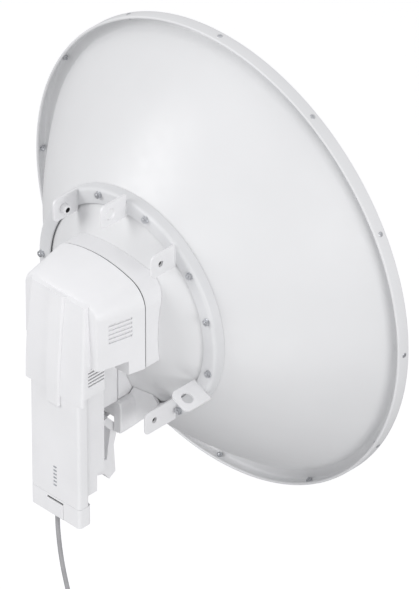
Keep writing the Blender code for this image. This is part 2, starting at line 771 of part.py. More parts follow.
def make_lever(bodies):
    """The release lever on the radio: a thumb head, an arm and a link to its pin."""
    outline = [
        (0.0250, -0.1500),
        (0.0180, -0.1480),
        (0.0015, -0.1676),
        (0.0010, -0.1730),
        (0.0075, -0.1960),
        (0.0050, -0.2384),
        (0.0160, -0.2453),
        (0.0250, -0.2330),
        (0.0560, -0.2240),
        (0.0600, -0.2190),
        (0.0600, -0.2110),
        (0.0560, -0.2065),
        (0.0200, -0.2130),
        (0.0180, -0.1960),
        (0.0135, -0.1700),
        (0.0260, -0.1550),
    ]
    hole = circle((PIVOT_Y, PIVOT_Z), 0.0023, 12)
    lever = plate("latch_lever", [outline, hole], 0.0230, ORIENT["X"], WHITE_PLASTIC)
    boolean(lever, box("spring_pocket", (-0.0050, 0.0460, -0.2300), (0.0050, 0.0700, -0.2000)))
    pin_profile = [
        (0.0, 0.0170),
        (0.0030, 0.0170),
        (0.0030, 0.0160 + GAP),
        (0.0019, 0.0160 + GAP),
        (0.0019, -0.0172),
        (0.0, -0.0172),
    ]
    pin = turned("latch_pin", pin_profile, (0, PIVOT_Y, PIVOT_Z), "X", STEEL, steps=12)
    turns, per_turn, coil = 3, 8, 0.0031
    points = []
    for step in range(turns * per_turn + 1):
        turn = 2 * math.pi * step / per_turn
        x = -0.0040 + 0.0080 * step / (turns * per_turn)
        points.append((x, PIVOT_Y + coil * math.cos(turn), PIVOT_Z + coil * math.sin(turn)))
    spring = tube("latch_spring", points, 0.0005, STEEL, resolution=0)
    carry(bodies["latch"], lever)
    carry(bodies["radio"], pin, spring)


# Radio --------------------------------------------------------------------------------------------


def make_radio_base():
    """The front half of the radio, with the groove for the cradle's rail and the lever's cheeks."""
    low = (-BASE_WIDTH, RADIO_FRONT, -0.2000)
    high = (BASE_WIDTH, RADIO_SPLIT - GAP - 0.0008, RADIO_TOP - 0.003)
    base = box("radio_base_shell", low, high, WHITE_PLASTIC)
    base_foot = box("base_foot", (-BASE_WIDTH, 0.0630, BASE_BOTTOM), (BASE_WIDTH, high[1], -0.190))
    boolean(base, base_foot, "UNION")
    for side, x in (("left", 0.0142), ("right", -0.0142)):
        cheek_low = (x - 0.0016, PIVOT_Y - 0.0060, PIVOT_Z - 0.0070)
        cheek_high = (x + 0.0016, 0.0660, PIVOT_Z + 0.0070)
        boolean(base, box(f"cheek_{side}", cheek_low, cheek_high), "UNION")
    boolean(base, turned("pin_bore", rod(0.0022, -0.020, 0.020), (0, PIVOT_Y, PIVOT_Z), "X", steps=12))
    boolean(base, box("rail_groove_neck", (-0.0064, 0.040, -0.1950), (0.0064, 0.0540, 0.0)))
    boolean(base, box("rail_groove_head", (-0.0104, 0.0520, -0.1955), (0.0104, 0.0590, 0.0)))
    boolean(base, box("base_cavity", (-0.0350, 0.0615, -0.2180), (0.0350, 0.0900, -0.0480)))
    return base


def rounded_block(name, low, high, corner, finish=None):
    """An upright block whose two rear corners are rounded."""
    outline = rounded([(low[0], low[1]), (high[0], low[1]), (high[0], high[1]), (low[0], high[1])], corner, 3)
    sections = [[(point[0], point[1], z) for point in outline] for z in (low[2], high[2])]
    return loft(name, sections, finish)


def make_radio_cover():
    """The rear half of the radio, which shows its status lights."""
    low = (-RADIO_WIDTH, RADIO_SPLIT, COVER_TOP + GAP)
    high = (RADIO_WIDTH, RADIO_BACK, RADIO_TOP)
    cover = rounded_block("radio_rear_shell", low, high, 0.0045, WHITE_PLASTIC)
    step = RADIO_BACK - 0.0028
    boolean(cover, box("shroud_step", (-0.1, step, COLUMN_BOTTOM - 0.0009), (0.1, 0.12, 0.0)))
    inside = RADIO_WIDTH - WALL
    low_z, step_z = COVER_TOP + WALL + 0.001, COLUMN_BOTTOM - 0.0080
    front = RADIO_SPLIT - 0.01
    boolean(cover, box("cover_inside", (-inside, front, low_z), (inside, RADIO_BACK - WALL, step_z)))
    upper_high = (inside, step - 0.0022, RADIO_TOP - WALL)
    upper = box("cover_inside_top", (-inside, front, step_z - 0.001), upper_high)
    boolean(cover, upper)
    windows = [Matrix.Translation((0.0, RADIO_BACK, z)) for z in light_levels()]
    boolean(cover, copies("light_windows", box_mesh("window", (0.0056, 0.020, 0.0024)), windows))
    jack_low = (CABLE_X - 0.0085, RADIO_SPLIT + 0.002, COVER_TOP - 0.01)
    jack_high = (CABLE_X + 0.0085, 0.0978, COVER_TOP + 0.01)
    boolean(cover, box("jack_opening", jack_low, jack_high))
    boolean(cover, turned("button_bore", rod(0.0024, -0.01, 0.01), (0.024, 0.0905, COVER_TOP), "Z", steps=12))
    bore = rod(0.0022, -0.01, 0.0100)
    boolean(cover, turned("ground_bore", bore, (-0.026, 0.0905, COVER_TOP), "Z", steps=12))
    return cover


def light_levels():
    return [-0.189 - 0.0056 * index for index in range(6)]


def make_light_pipe():
    """One clear moulding: a strip inside the shell with a bar through each window."""
    levels = light_levels()
    inner_face = RADIO_BACK - WALL
    low = (-0.0024, inner_face - 0.0018, levels[-1] - 0.0030)
    high = (0.0024, inner_face - GAP, levels[0] + 0.0030)
    strip = box("light_pipe", low, high, CLEAR_PLASTIC)
    bar = box_mesh("light_bar", (0.0044, 0.0042, 0.0016))
    places = [Matrix.Translation((0.0, RADIO_BACK - 0.0017, z)) for z in levels]
    boolean(strip, copies("light_bars", bar, places), "UNION")
    return strip


def make_radio_inside():
    split_seal_low = (-BASE_WIDTH + 0.0008, RADIO_SPLIT - 0.0008, -0.2245)
    split_seal_high = (BASE_WIDTH - 0.0008, RADIO_SPLIT - GAP, RADIO_TOP - 0.0045)
    seal = box("radio_gasket", split_seal_low, split_seal_high, RUBBER)
    boolean(seal, box("gasket_inside", (-0.0355, 0.0, -0.2200), (0.0355, 0.2, -0.0465)))
    board = box("radio_board", (-0.0345, 0.0740, -0.2170), (0.0345, 0.0756, -0.0500), BOARD_GREEN)
    shield = box("shield_can", (-0.0260, 0.0664, -0.1500), (0.0260, 0.0737, -0.0560), ALUMINIUM, bevel=0.0008)
    sink_low, sink_high = (-0.0300, 0.0759, -0.1600), (0.0300, 0.0850, -0.0600)
    sink = box("heat_spreader", sink_low, sink_high, ALUMINIUM, bevel=0.0010)
    jack_low = (CABLE_X - 0.0080, CABLE_Y - 0.0058, COVER_TOP + 0.0002)
    jack_high = (CABLE_X + 0.0080, CABLE_Y + 0.0050, -0.2212)
    jack = box("data_jack", jack_low, jack_high, DARK_PLASTIC)
    hole_low = (CABLE_X - 0.0061, CABLE_Y - 0.0042, COVER_TOP - 0.01)
    hole_high = (CABLE_X + 0.0061, CABLE_Y + 0.0041, -0.2228)
    jack_hole = box("jack_hole", hole_low, hole_high)
    boolean(jack, jack_hole)
    lights = make_light_pipe()
    port = [
        (0.0, 0.0090),
        (0.0031, 0.0090),
        (0.0031, 0.0030),
        (0.0048, 0.0030),
        (0.0048, -0.0027),
        (0.0, -0.0027),
    ]
    return [seal, board, shield, sink, jack, lights], port


def make_port_cover():
    """The cup over the radio's lower end, with a thumb latch and an opening for the cable."""
    low = (-RADIO_WIDTH, RADIO_SPLIT - 0.0030, RADIO_BOTTOM)
    high = (RADIO_WIDTH, RADIO_BACK, COVER_TOP)
    cover = rounded_block("port_cover", low, high, 0.0045, WHITE_PLASTIC)
    inside_low = (low[0] + 0.002, low[1] + 0.002, low[2] + 0.002)
    inside_high = (high[0] - 0.002, high[1] - 0.002, high[2] + 0.01)
    boolean(cover, box("port_cover_inside", inside_low, inside_high))
    window_low = (-0.0146, high[1] - 0.010, low[2] + 0.0008)
    boolean(cover, box("latch_window", window_low, (0.0146, high[1] + 0.01, -0.2395)))
    bore = turned("cable_bore", rod(0.0051, -0.01, 0.01), (CABLE_X, CABLE_Y, RADIO_BOTTOM), "Z", steps=16)
    boolean(cover, bore)
    grommet = [
        (0.0057, RADIO_BOTTOM + 0.0040),
        (0.0057, RADIO_BOTTOM + 0.0023),
        (0.0048, RADIO_BOTTOM + 0.0023),
        (0.0048, RADIO_BOTTOM - 0.0003),
        (0.0040, RADIO_BOTTOM - 0.0003),
        (0.0040, RADIO_BOTTOM + 0.0040),
    ]
    ring = turned("cable_grommet", grommet, (CABLE_X, CABLE_Y, 0), "Z", RUBBER, steps=16, loop=True)
    tab_low = (-0.0142, RADIO_BACK - 0.0016, RADIO_BOTTOM + 0.0012)
    tab_high = (0.0142, RADIO_BACK + 0.0012, -0.2425)
    tab = box("thumb_latch", tab_low, tab_high, WHITE_PLASTIC, bevel=0.0006)
    return cover, ring, tab


def make_radio(bodies):
    base = make_radio_base()
    cover = make_radio_cover()
    inner, port = make_radio_inside()
    port_frames = [Matrix.Translation((x, JUMPER_Y, RADIO_TOP)) for x in (-PORT_X, PORT_X)]
    ports = []
    for side, frame in zip(("right", "left"), port_frames):
        ports.append(add(f"radio_port_{side}", turned_mesh("radio_port", port, 12), frame, GOLD))
    sockets = copies("port_sockets", turned_mesh("socket", rod(0.0052, -0.020, 0.020), 12), port_frames)
    boolean(base, sockets)
    boolean(cover, sockets)
    button = [(0.0, 0.0090), (0.0020, 0.0090), (0.0020, -0.0012), (0.0, -0.0012)]
    reset = turned("reset_button", button, (0.024, 0.0905, COVER_TOP), "Z", DARK_PLASTIC, steps=12)
    ground = [
        (0.0, 0.0080),
        (0.0018, 0.0080),
        (0.0018, -GAP),
        (0.0042, -GAP),
        (0.0042, -0.0028),
        (0.0, -0.0028),
    ]
    screw = turned("ground_screw", ground, (-0.026, 0.0905, COVER_TOP), "Z", STEEL, steps=12)
    plug_low = (CABLE_X - 0.0058, CABLE_Y - 0.0039, CABLE_START + GAP)
    plug_high = (CABLE_X + 0.0058, CABLE_Y + 0.0037, -0.2234)
    plug = box("jack_plug", plug_low, plug_high, CLEAR_PLUG)
    shell_cover, grommet, tab = make_port_cover()
    carry(bodies["radio"], base, cover, screw, plug, *ports, *inner)
    carry(bodies["port_cover"], shell_cover, grommet)
    carry(bodies["thumb_latch"], tab)
    carry(bodies["reset_button"], reset)


# Cable --------------------------------------------------------------------------------------------


def smooth(points, steps):
    """A Catmull-Rom curve through the points, with a number of steps between each pair."""
    places = [Vector(point) for point in points]
    ends = [places[0] * 2 - places[1]] + places + [places[-1] * 2 - places[-2]]
    made = []
    for index in range(1, len(ends) - 2):
        before, here, after, beyond = ends[index - 1 : index + 3]
        for step in range(steps):
            t = step / steps
            pull = (after - before) * t + (before * 2 - here * 5 + after * 4 - beyond) * t * t
            pull += (here * 3 - before - after * 3 + beyond) * t * t * t
            made.append(here + pull / 2)
    return made + [places[-1]]


def make_cable(body):
    """The data cable: down from the jack, then its spare length in an upright coil that a tie holds."""
    coil_x, coil_y, coil_z = COIL_CENTRE
    side = coil_x - COIL_RADIUS - CABLE_RADIUS
    top_of_coil = coil_z + COIL_ENTRY
    drop = [
        (CABLE_X, CABLE_Y, CABLE_START),
        (CABLE_X, CABLE_Y, -0.2620),
        (CABLE_X, CABLE_Y, -0.2740),
        (CABLE_X - 0.0004, CABLE_Y, -0.2880),
        (CABLE_X - 0.0020, CABLE_Y, -0.3060),
        (CABLE_X - 0.0050, CABLE_Y, -0.3280),
        (CABLE_X - 0.0098, CABLE_Y, -0.3520),
        (CABLE_X - 0.0172, CABLE_Y, -0.3790),
        (CABLE_X - 0.0256, CABLE_Y, -0.4040),
        (side, CABLE_Y, top_of_coil),
    ]
    jacket = tube("data_cable", smooth(drop, 4), CABLE_RADIUS, CABLE_JACKET)
    thick = CABLE_RADIUS * 2 * COIL_LAYERS / 2
    outer, inner = COIL_RADIUS + thick, COIL_RADIUS - thick
    half = CABLE_RADIUS * (COIL_ROWS + 1)
    bulge = CABLE_RADIUS * 0.6
    ring = [
        (outer - bulge, half),
        (outer, half - bulge),
        (outer, bulge - half),
        (outer - bulge, -half),
        (inner + bulge, -half),
        (inner, bulge - half),
        (inner, half - bulge),
        (inner + bulge, half),
    ]
    coil = turned("cable_coil", ring, COIL_CENTRE, "Y", CABLE_JACKET, steps=32, loop=True)
    tail_y = CABLE_Y + CABLE_RADIUS * 2 + 0.0006
    low = coil_z - COIL_RADIUS + CABLE_RADIUS
    tail = [
        (coil_x, tail_y, low),
        (coil_x + 0.0110, tail_y, low - 0.0018),
        (coil_x + 0.0210, tail_y, low - 0.0085),
        (coil_x + 0.0275, tail_y, low - 0.0190),
        (coil_x + 0.0298, tail_y, low - 0.0310),
        (coil_x + 0.0300, tail_y, low - 0.0420),
    ]
    end = tube("cable_tail", smooth(tail, 3), CABLE_RADIUS, CABLE_JACKET)
    plug = make_data_plug(coil_x + 0.0300, tail_y, low - 0.0420 - GAP)
    tie = make_tie(coil_x, coil_y, coil_z + COIL_RADIUS, thick, half)
    carry(body, jacket, coil, end, plug, tie)


def make_data_plug(x, y, top):
    """A modular plug with a round boot, pointing down."""
    boot = [(0.0, 0.0), (0.0038, 0.0), (0.0046, -0.0030), (0.0050, -0.0130), (0.0, -0.0130)]
    plug = turned("data_plug", boot, (x, y, top), "Z", CLEAR_PLUG, steps=12)
    low, high = (x - 0.0058, y - 0.0040, top - 0.0300), (x + 0.0058, y + 0.0040, top - 0.0100)
    boolean(plug, box("plug_body", low, high), "UNION")
    return plug


def make_tie(x, y, z, thick, half):
    """A flat strap round the coil's section, with its locking head on top."""
    strap, clear, width = 0.0012, 0.0005, 0.0046
    room_z, room_y = thick + clear, half + clear
    inside = [(-room_y, -room_z), (room_y, -room_z), (room_y, room_z), (-room_y, room_z)]
    outside = [(math.copysign(abs(u) + strap, u), math.copysign(abs(v) + strap, v)) for u, v in inside]
    outlines = [rounded(outside, 0.0022, 3), rounded(inside, 0.0012, 3)]
    place = Matrix.Translation((x, y, z)) @ ORIENT["X"]
    tie = plate("coil_tie", outlines, width, place, DARK_PLASTIC)
    head_low = (x - 0.0036, y - 0.0030, z + room_z + strap * 0.5)
    head_high = (x + 0.0036, y + 0.0030, z + room_z + strap + 0.0034)
    boolean(tie, box("tie_head", head_low, head_high), "UNION")
    return tie


def make_all():
    bodies = {
        "radio": group("radio_body", (0, RADIO_FRONT, RADIO_TOP)),
        "port_cover": group("port_cover_body", (0, RADIO_BACK, RADIO_BOTTOM)),
        "thumb_latch": group("thumb_latch_body", (0, RADIO_BACK, -0.2540)),
        "reset_button": group("reset_button_body", (0.024, 0.0905, COVER_TOP)),
        "latch": group("latch_body", (0, PIVOT_Y, PIVOT_Z)),
    }
    make_dish()
    make_ring()
    make_ears()
    make_lugs()
    make_hub()
    make_feed()
    make_feed_block()
    make_housing_base()
    make_shroud()
    make_cradle()
    make_foot()
    make_lever(bodies)
    make_radio(bodies)
    make_cable(bodies["radio"])


make_all()
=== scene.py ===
import json
import math

import bmesh
import bpy
from mathutils import Matrix, Vector


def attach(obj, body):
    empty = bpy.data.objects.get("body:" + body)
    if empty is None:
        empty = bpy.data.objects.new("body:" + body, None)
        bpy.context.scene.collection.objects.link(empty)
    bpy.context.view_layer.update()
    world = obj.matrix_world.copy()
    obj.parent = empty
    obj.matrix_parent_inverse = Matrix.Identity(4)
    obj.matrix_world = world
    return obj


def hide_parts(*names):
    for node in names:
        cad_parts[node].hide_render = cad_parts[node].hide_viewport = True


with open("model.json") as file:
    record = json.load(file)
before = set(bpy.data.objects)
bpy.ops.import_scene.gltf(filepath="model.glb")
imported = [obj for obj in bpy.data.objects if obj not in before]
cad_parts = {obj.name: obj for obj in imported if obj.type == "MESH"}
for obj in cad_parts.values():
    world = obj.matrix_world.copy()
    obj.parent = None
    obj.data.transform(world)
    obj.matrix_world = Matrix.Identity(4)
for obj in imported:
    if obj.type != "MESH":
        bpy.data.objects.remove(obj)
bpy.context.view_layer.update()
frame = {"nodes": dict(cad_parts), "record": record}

# Sizes shared with the solids, in metres. The boresight points along -Y and +Z is up.
RIM_RADIUS, RIM_REAR, SKIRT_DEPTH, SHEET = 0.325, -0.184, 0.0184, 0.002
BOWL_RADIUS, VERTEX, FOCAL, CENTRE_HOLE = 0.307, 0.0105, 0.11525, 0.0225
RING_INNER, RING_OUTER, RING_BACK, RING_SHEET = 0.1375, 0.1585, -0.0265, 0.0025
BOLT_CIRCLE, BOLT_ANGLES = 0.151, (1, 41, 72, 104, 139, 163, 193, 231, 309)
RIM_SCREWS = 12
FEED_RADIUS, FEED_MOUTH, FLANGE_BACK, SPLASH_RADIUS = 0.021, -0.085, 0.0145, 0.052
HUB_SCREW_CIRCLE = 0.0285
HOUSING_SCREWS = ((0.0735, 0.040), (-0.0735, 0.040), (0.0735, -0.026), (-0.0735, -0.026))
LUG_ANGLES = (90, 205, 323)
EAR_X, EAR_Z = 0.087, 0.117
CABLE_RADIUS, CABLE_X, CABLE_Y, CABLE_START = 0.003, 0.0045, 0.0925, -0.2522
COIL_CENTRE, COIL_RADIUS, COIL_ENTRY = (0.0045, 0.0835, -0.452), 0.033, 0.0225
COIL_TURNS, TAIL_GAP = 6, 0.0006
PLATE_SIDES, BEAD_RADIUS = (-0.0016, 0.0016), 0.0011
WASHER_HEIGHT, NUT_BEVEL = 0.0009, 0.0004

# The sky: height from straight down (0) to straight up (1), and its colour there
SKY = (
    (0.0, (0.36, 0.36, 0.37)),
    (0.42, (0.46, 0.46, 0.47)),
    (0.52, (0.78, 0.78, 0.79)),
    (1.0, (0.76, 0.76, 0.775)),
)

# Each light's name, place, width in metres and power in watts
LIGHTS = (
    ("key", (2.2, 2.8, 1.9), 2.4, 60),
    ("side", (-3.6, 0.6, 0.9), 1.8, 42),
    ("fill", (-1.8, 2.6, -2.0), 2.2, 28),
)

# Each solid's material slot and its body, as the record gives them
SLOTS = {entry["node"]: entry["material_slot"] for entry in frame["record"]["subparts"]}
BODY_OF = {
    name: body for body, names in frame["record"]["behaviour"]["bodies"].items() for name in names
}

# Turns that point local Z along each axis
ORIENT = {
    "X": Matrix(((0, 0, 1), (1, 0, 0), (0, 1, 0))).to_4x4(),
    "Y": Matrix(((-1, 0, 0), (0, 0, 1), (0, 1, 0))).to_4x4(),
    "Z": Matrix.Identity(4),
}


# Stage --------------------------------------------------------------------------------------------


def add_camera():
    """The view from behind the dish: over its right side and down, with a very long lens."""
    back = Vector((-1, 1, 1)).normalized()
    aim = Vector((-0.0172, -0.1579, -0.0433))
    distance, lens = 12, 579.4
    data = bpy.data.cameras.new("camera")
    data.lens = lens
    data.sensor_width = 36
    data.clip_end = 60
    camera = bpy.data.objects.new("camera", data)
    camera.location = aim + back * distance
    camera.rotation_euler = (-back).to_track_quat("-Z", "Y").to_euler()
    bpy.context.scene.collection.objects.link(camera)
    bpy.context.scene.camera = camera


def add_light(name, place, width, power):
    """A round soft light that faces the origin."""
    data = bpy.data.lights.new(name, "AREA")
    data.shape = "DISK"
    data.size = width
    data.energy = power
    light = bpy.data.objects.new(name, data)
    light.location = place
    light.rotation_euler = (-Vector(place)).to_track_quat("-Z", "Y").to_euler()
    bpy.context.scene.collection.objects.link(light)


def add_stage():
    """A pale floor that glows slightly, a sky that is dim below the horizon, and the lights."""
    size, level = 40, -2.4
    mesh = bpy.data.meshes.new("floor")
    corners = [(x * size, y * size, level) for x, y in ((-1, -1), (1, -1), (1, 1), (-1, 1))]
    mesh.from_pydata(corners, [], [(0, 1, 2, 3)])
    glow = {"Emission_Color": (1, 1, 1, 1), "Emission_Strength": 0.18}
    paint = material("floor_paint", (0.97, 0.97, 0.97), 0.9, mottle=(0.6, 0.01), **glow)
    mesh.materials.append(paint)
    floor = bpy.data.objects.new("floor", mesh)
    floor.visible_diffuse = False
    floor.visible_glossy = False
    bpy.context.scene.collection.objects.link(floor)
    world = bpy.data.worlds.new("studio")
    world.use_nodes = True
    tree = world.node_tree
    coords = node(tree, "ShaderNodeTexCoord")
    split = node(tree, "ShaderNodeSeparateXYZ")
    ramp = node(tree, "ShaderNodeValToRGB")
    tree.links.new(coords.outputs["Generated"], split.inputs["Vector"])
    height = spread(tree, split.outputs["Z"], 0.0, 1.0, -1.0, 1.0)
    tree.links.new(height, ramp.inputs["Fac"])
    tree.links.new(ramp.outputs["Color"], tree.nodes["Background"].inputs["Color"])
    elements = ramp.color_ramp.elements
    elements[0].position, elements[0].color = SKY[0][0], (*SKY[0][1], 1)
    elements[1].position, elements[1].color = SKY[-1][0], (*SKY[-1][1], 1)
    for place, colour in SKY[1:-1]:
        elements.new(place).color = (*colour, 1)
    tree.nodes["Background"].inputs["Strength"].default_value = 1.0
    bpy.context.scene.world = world
    bpy.context.scene.view_settings.view_transform = "Standard"
    for name, place, width, power in LIGHTS:
        add_light(name, place, width, power)


# Materials ----------------------------------------------------------------------------------------


NOISE_LOW, NOISE_HIGH = 0.3, 0.7  # nearly all of a noise's values lie between these
GLOSS_SPREAD = 0.05  # how far the roughness strays either side of its value
GLOSS_FINENESS = 9  # how much finer the gloss varies than the colour


def node(tree, kind, **settings):
    made = tree.nodes.new(kind)
    for key, value in settings.items():
        setattr(made, key, value)
    return made


def noise(tree, coords, scale, detail=3.0, stretch=None):
    texture = node(tree, "ShaderNodeTexNoise")
    texture.inputs["Scale"].default_value = scale
    texture.inputs["Detail"].default_value = detail
    source = coords.outputs["Object"]
    if stretch:
        mapping = node(tree, "ShaderNodeMapping")
        mapping.inputs["Scale"].default_value = stretch
        tree.links.new(source, mapping.inputs["Vector"])
        source = mapping.outputs["Vector"]
    tree.links.new(source, texture.inputs["Vector"])
    return texture.outputs["Fac"]


def spread(tree, value, low, high, source_low=NOISE_LOW, source_high=NOISE_HIGH):
    """A value mapped between two numbers, by default from the middle of a noise's range."""
    mapped = node(tree, "ShaderNodeMapRange")
    mapped.inputs["From Min"].default_value = source_low
    mapped.inputs["From Max"].default_value = source_high
    mapped.inputs["To Min"].default_value = low
    mapped.inputs["To Max"].default_value = high
    tree.links.new(value, mapped.inputs["Value"])
    return mapped.outputs["Result"]


def tinted(tree, value, dark, light):
    """A noise value as a colour between two."""
    ramp = node(tree, "ShaderNodeValToRGB")
    ramp.color_ramp.elements[0].position = NOISE_LOW
    ramp.color_ramp.elements[0].color = (*dark, 1)
    ramp.color_ramp.elements[1].position = NOISE_HIGH
    ramp.color_ramp.elements[1].color = (*light, 1)
    tree.links.new(value, ramp.inputs["Fac"])
    return ramp.outputs["Color"]


def scaled(colour, factor):
    return tuple(min(1.0, channel * factor) for channel in colour)


def material(
    name,
    colour,
    roughness,
    metallic=0.0,
    mottle=(14, 0.03),
    grain=None,
    stretch=None,
    **shader_values,
):
    """A surface with slow colour variation, uneven gloss and, where it has one, a fine grain."""
    made = bpy.data.materials.new(name)
    made.use_nodes = True
    tree = made.node_tree
    shader = tree.nodes["Principled BSDF"]
    coords = node(tree, "ShaderNodeTexCoord")
    scale, amount = mottle
    slow = noise(tree, coords, scale)
    colours = tinted(tree, slow, scaled(colour, 1 - amount), scaled(colour, 1 + amount))
    tree.links.new(colours, shader.inputs["Base Color"])
    shader.inputs["Metallic"].default_value = metallic
    gloss = noise(tree, coords, scale * GLOSS_FINENESS, 5.0, stretch)
    rough = spread(tree, gloss, roughness - GLOSS_SPREAD, roughness + GLOSS_SPREAD)
    tree.links.new(rough, shader.inputs["Roughness"])
    if grain:
        grain_scale, depth = grain
        bump = node(tree, "ShaderNodeBump")
        bump.inputs["Distance"].default_value = depth
        bump.inputs["Strength"].default_value = 1.0
        tree.links.new(noise(tree, coords, grain_scale, 2.0, stretch), bump.inputs["Height"])
        tree.links.new(bump.outputs["Normal"], shader.inputs["Normal"])
    for socket, value in shader_values.items():
        shader.inputs[socket.replace("_", " ")].default_value = value
    return made


DISH_PAINT = material(
    "dish_paint", (0.74, 0.743, 0.75), 0.36, mottle=(7, 0.02), grain=(650, 0.00002)
)
# The ring and its ears wear one white paint: the ring's copy is darker as painted shade, the ears'
# copy lighter as painted light
SHADED_RING_PAINT = material(
    "ring_paint", (0.71, 0.715, 0.725), 0.40, mottle=(18, 0.03), grain=(900, 0.00003)
)
LIT_EAR_PAINT = material("lit_ear_paint", (0.80, 0.80, 0.81), 0.40, mottle=(18, 0.03), grain=(900, 0.00003))
# Near-black thread colour: painted shade that makes the clinch nut bores read dark
PAINTED_BORE_SHADE = material(
    "black_oxide_thread", (0.03, 0.03, 0.032), 0.5, 0.4, mottle=(300, 0.08), grain=(2600, 0.00001)
)
PLASTIC = material(
    "white_plastic", (0.83, 0.83, 0.84), 0.46, mottle=(16, 0.02), grain=(2400, 0.000035)
)
GLOSS_PLASTIC = material(
    "smooth_white_plastic", (0.86, 0.865, 0.875), 0.34, mottle=(16, 0.02), grain=(1400, 0.00001)
)
FEED_PLASTIC = material(
    "natural_plastic", (0.70, 0.69, 0.65), 0.48, mottle=(40, 0.05), grain=(1800, 0.00003)
)
STEEL = material(
    "stainless_steel", (0.58, 0.58, 0.59), 0.28, 1.0, mottle=(120, 0.06), grain=(2600, 0.00001)
)
ZINC = material(
    "zinc_plated_steel", (0.60, 0.61, 0.63), 0.34, 1.0, mottle=(180, 0.10), grain=(2200, 0.000012)
)
ALUMINIUM = material(
    "machined_aluminium", (0.68, 0.69, 0.70), 0.32, 1.0,
    mottle=(60, 0.05), grain=(700, 0.00001), stretch=(1, 12, 1),
)
RUBBER = material(
    "dark_rubber", (0.035, 0.035, 0.038), 0.72, mottle=(60, 0.12), grain=(1600, 0.00006)
)
GOLD = material(
    "gold_plating", (0.86, 0.62, 0.26), 0.24, 1.0, mottle=(150, 0.05), grain=(2400, 0.000006)
)
DARK_PLASTIC = material(
    "dark_plastic", (0.045, 0.045, 0.05), 0.48, mottle=(50, 0.10), grain=(2000, 0.00003)
)
SMOKED = material(
    "smoked_light_pipe", (0.42, 0.44, 0.46), 0.16, mottle=(300, 0.10), grain=(900, 0.000004)
)
JACKET = material(
    "cable_jacket", (0.36, 0.36, 0.37), 0.50, mottle=(70, 0.08), grain=(1500, 0.00004)
)
CLEAR_PLUG = material(
    "plug_plastic", (0.66, 0.70, 0.72), 0.14,
    mottle=(200, 0.04), grain=(900, 0.000004), Transmission_Weight=0.75,
)
BOARD = material(
    "solder_resist", (0.02, 0.16, 0.07), 0.34, mottle=(420, 0.35), grain=(600, 0.00004)
)

# Mesh helpers -------------------------------------------------------------------------------------


def add(name, mesh, finish, body, slot, *stands_for, matrix=None, smooth=30):
    obj = bpy.data.objects.new(name, mesh)
    bpy.context.scene.collection.objects.link(obj)
    if matrix is not None:
        mesh.transform(matrix)
    mesh.materials.clear()
    mesh.materials.append(finish)
    mesh.shade_smooth()
    mesh.set_sharp_from_angle(angle=math.radians(smooth))
    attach(obj, body)
    if stands_for:
        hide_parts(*stands_for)
    return obj


def mesh_from(name, bm):
    bmesh.ops.recalc_face_normals(bm, faces=bm.faces)
    mesh = bpy.data.meshes.new(name)
    bm.to_mesh(mesh)
    bm.free()
    return mesh


def ring_of_verts(bm, radius, height, count):
    """Vertices round a circle about Z."""
    turns = [2 * math.pi * k / count for k in range(count)]
    return [bm.verts.new((radius * math.cos(t), radius * math.sin(t), height)) for t in turns]


def bridge(bm, rings):
    """Faces between each ring of vertices and the next."""
    for first, second in zip(rings, rings[1:]):
        for k in range(len(first)):
            m = (k + 1) % len(first)
            bm.faces.new((first[k], first[m], second[m], second[k]))


def turned(name, profile, steps, axis="Z", loop=False):
    """A mesh turned round an axis through the origin. The profile holds (radius, height)."""
    bm = bmesh.new()
    rows = []
    for radius, height in profile:
        if radius < 1e-7:
            rows.append([bm.verts.new((0, 0, height))] * steps)
        else:
            rows.append(ring_of_verts(bm, radius, height, steps))
    pairs = list(zip(rows, rows[1:]))
    if loop:
        pairs.append((rows[-1], rows[0]))
    for first, second in pairs:
        for k in range(steps):
            m = (k + 1) % steps
            corners = []
            for vert in (first[k], first[m], second[m], second[k]):
                if vert not in corners:
                    corners.append(vert)
            if len(corners) > 2:
                bm.faces.new(corners)
    mesh = mesh_from(name, bm)
    mesh.transform(ORIENT[axis])
    return mesh


def joined(name, meshes):
    """One mesh that holds several."""
    bm = bmesh.new()
    for mesh in meshes:
        bm.from_mesh(mesh)
    made = bpy.data.meshes.new(name)
    bm.to_mesh(made)
    bm.free()
    return made


def spaced(mesh, matrices):
    """A copy of the mesh at each matrix, as one mesh."""
    copies = []
    for matrix in matrices:
        copy = mesh.copy()
        copy.transform(matrix)
        copies.append(copy)
    return joined(mesh.name, copies)


def on_circle(degrees, radius, y):
    turn = math.radians(degrees)
    return Vector((radius * math.cos(turn), y, radius * math.sin(turn)))


def dish_back(radius):
    return VERTEX - radius * radius / (4 * FOCAL)


def smooth_path(points, steps):
    """A Catmull-Rom curve through the points, with a number of steps between each pair."""
    places = [Vector(point) for point in points]
    ends = [places[0] * 2 - places[1]] + places + [places[-1] * 2 - places[-2]]
    made = []
    for index in range(1, len(ends) - 2):
        before, here, after, beyond = ends[index - 1 : index + 3]
        for step in range(steps):
            t = step / steps
            pull = (after - before) * t + (before * 2 - here * 5 + after * 4 - beyond) * t * t
            pull += (here * 3 - before - after * 3 + beyond) * t * t * t
            made.append(here + pull / 2)
    return made + [places[-1]]


def wire(name, points, radius, finish, body, slot, *stands_for, resolution=6):
    curve = bpy.data.curves.new(name, "CURVE")
    curve.dimensions = "3D"
    curve.bevel_depth = radius
    curve.bevel_resolution = resolution
    curve.use_fill_caps = True
    spline = curve.splines.new("POLY")
    spline.points.add(len(points) - 1)
    for point, place in zip(spline.points, points):
        point.co = (*place, 1.0)
    spline.use_smooth = True
    curve.materials.append(finish)
    obj = bpy.data.objects.new(name, curve)
    bpy.context.scene.collection.objects.link(obj)
    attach(obj, body)
    if stands_for:
        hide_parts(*stands_for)
    return obj


# Cable --------------------------------------------------------------------------------------------


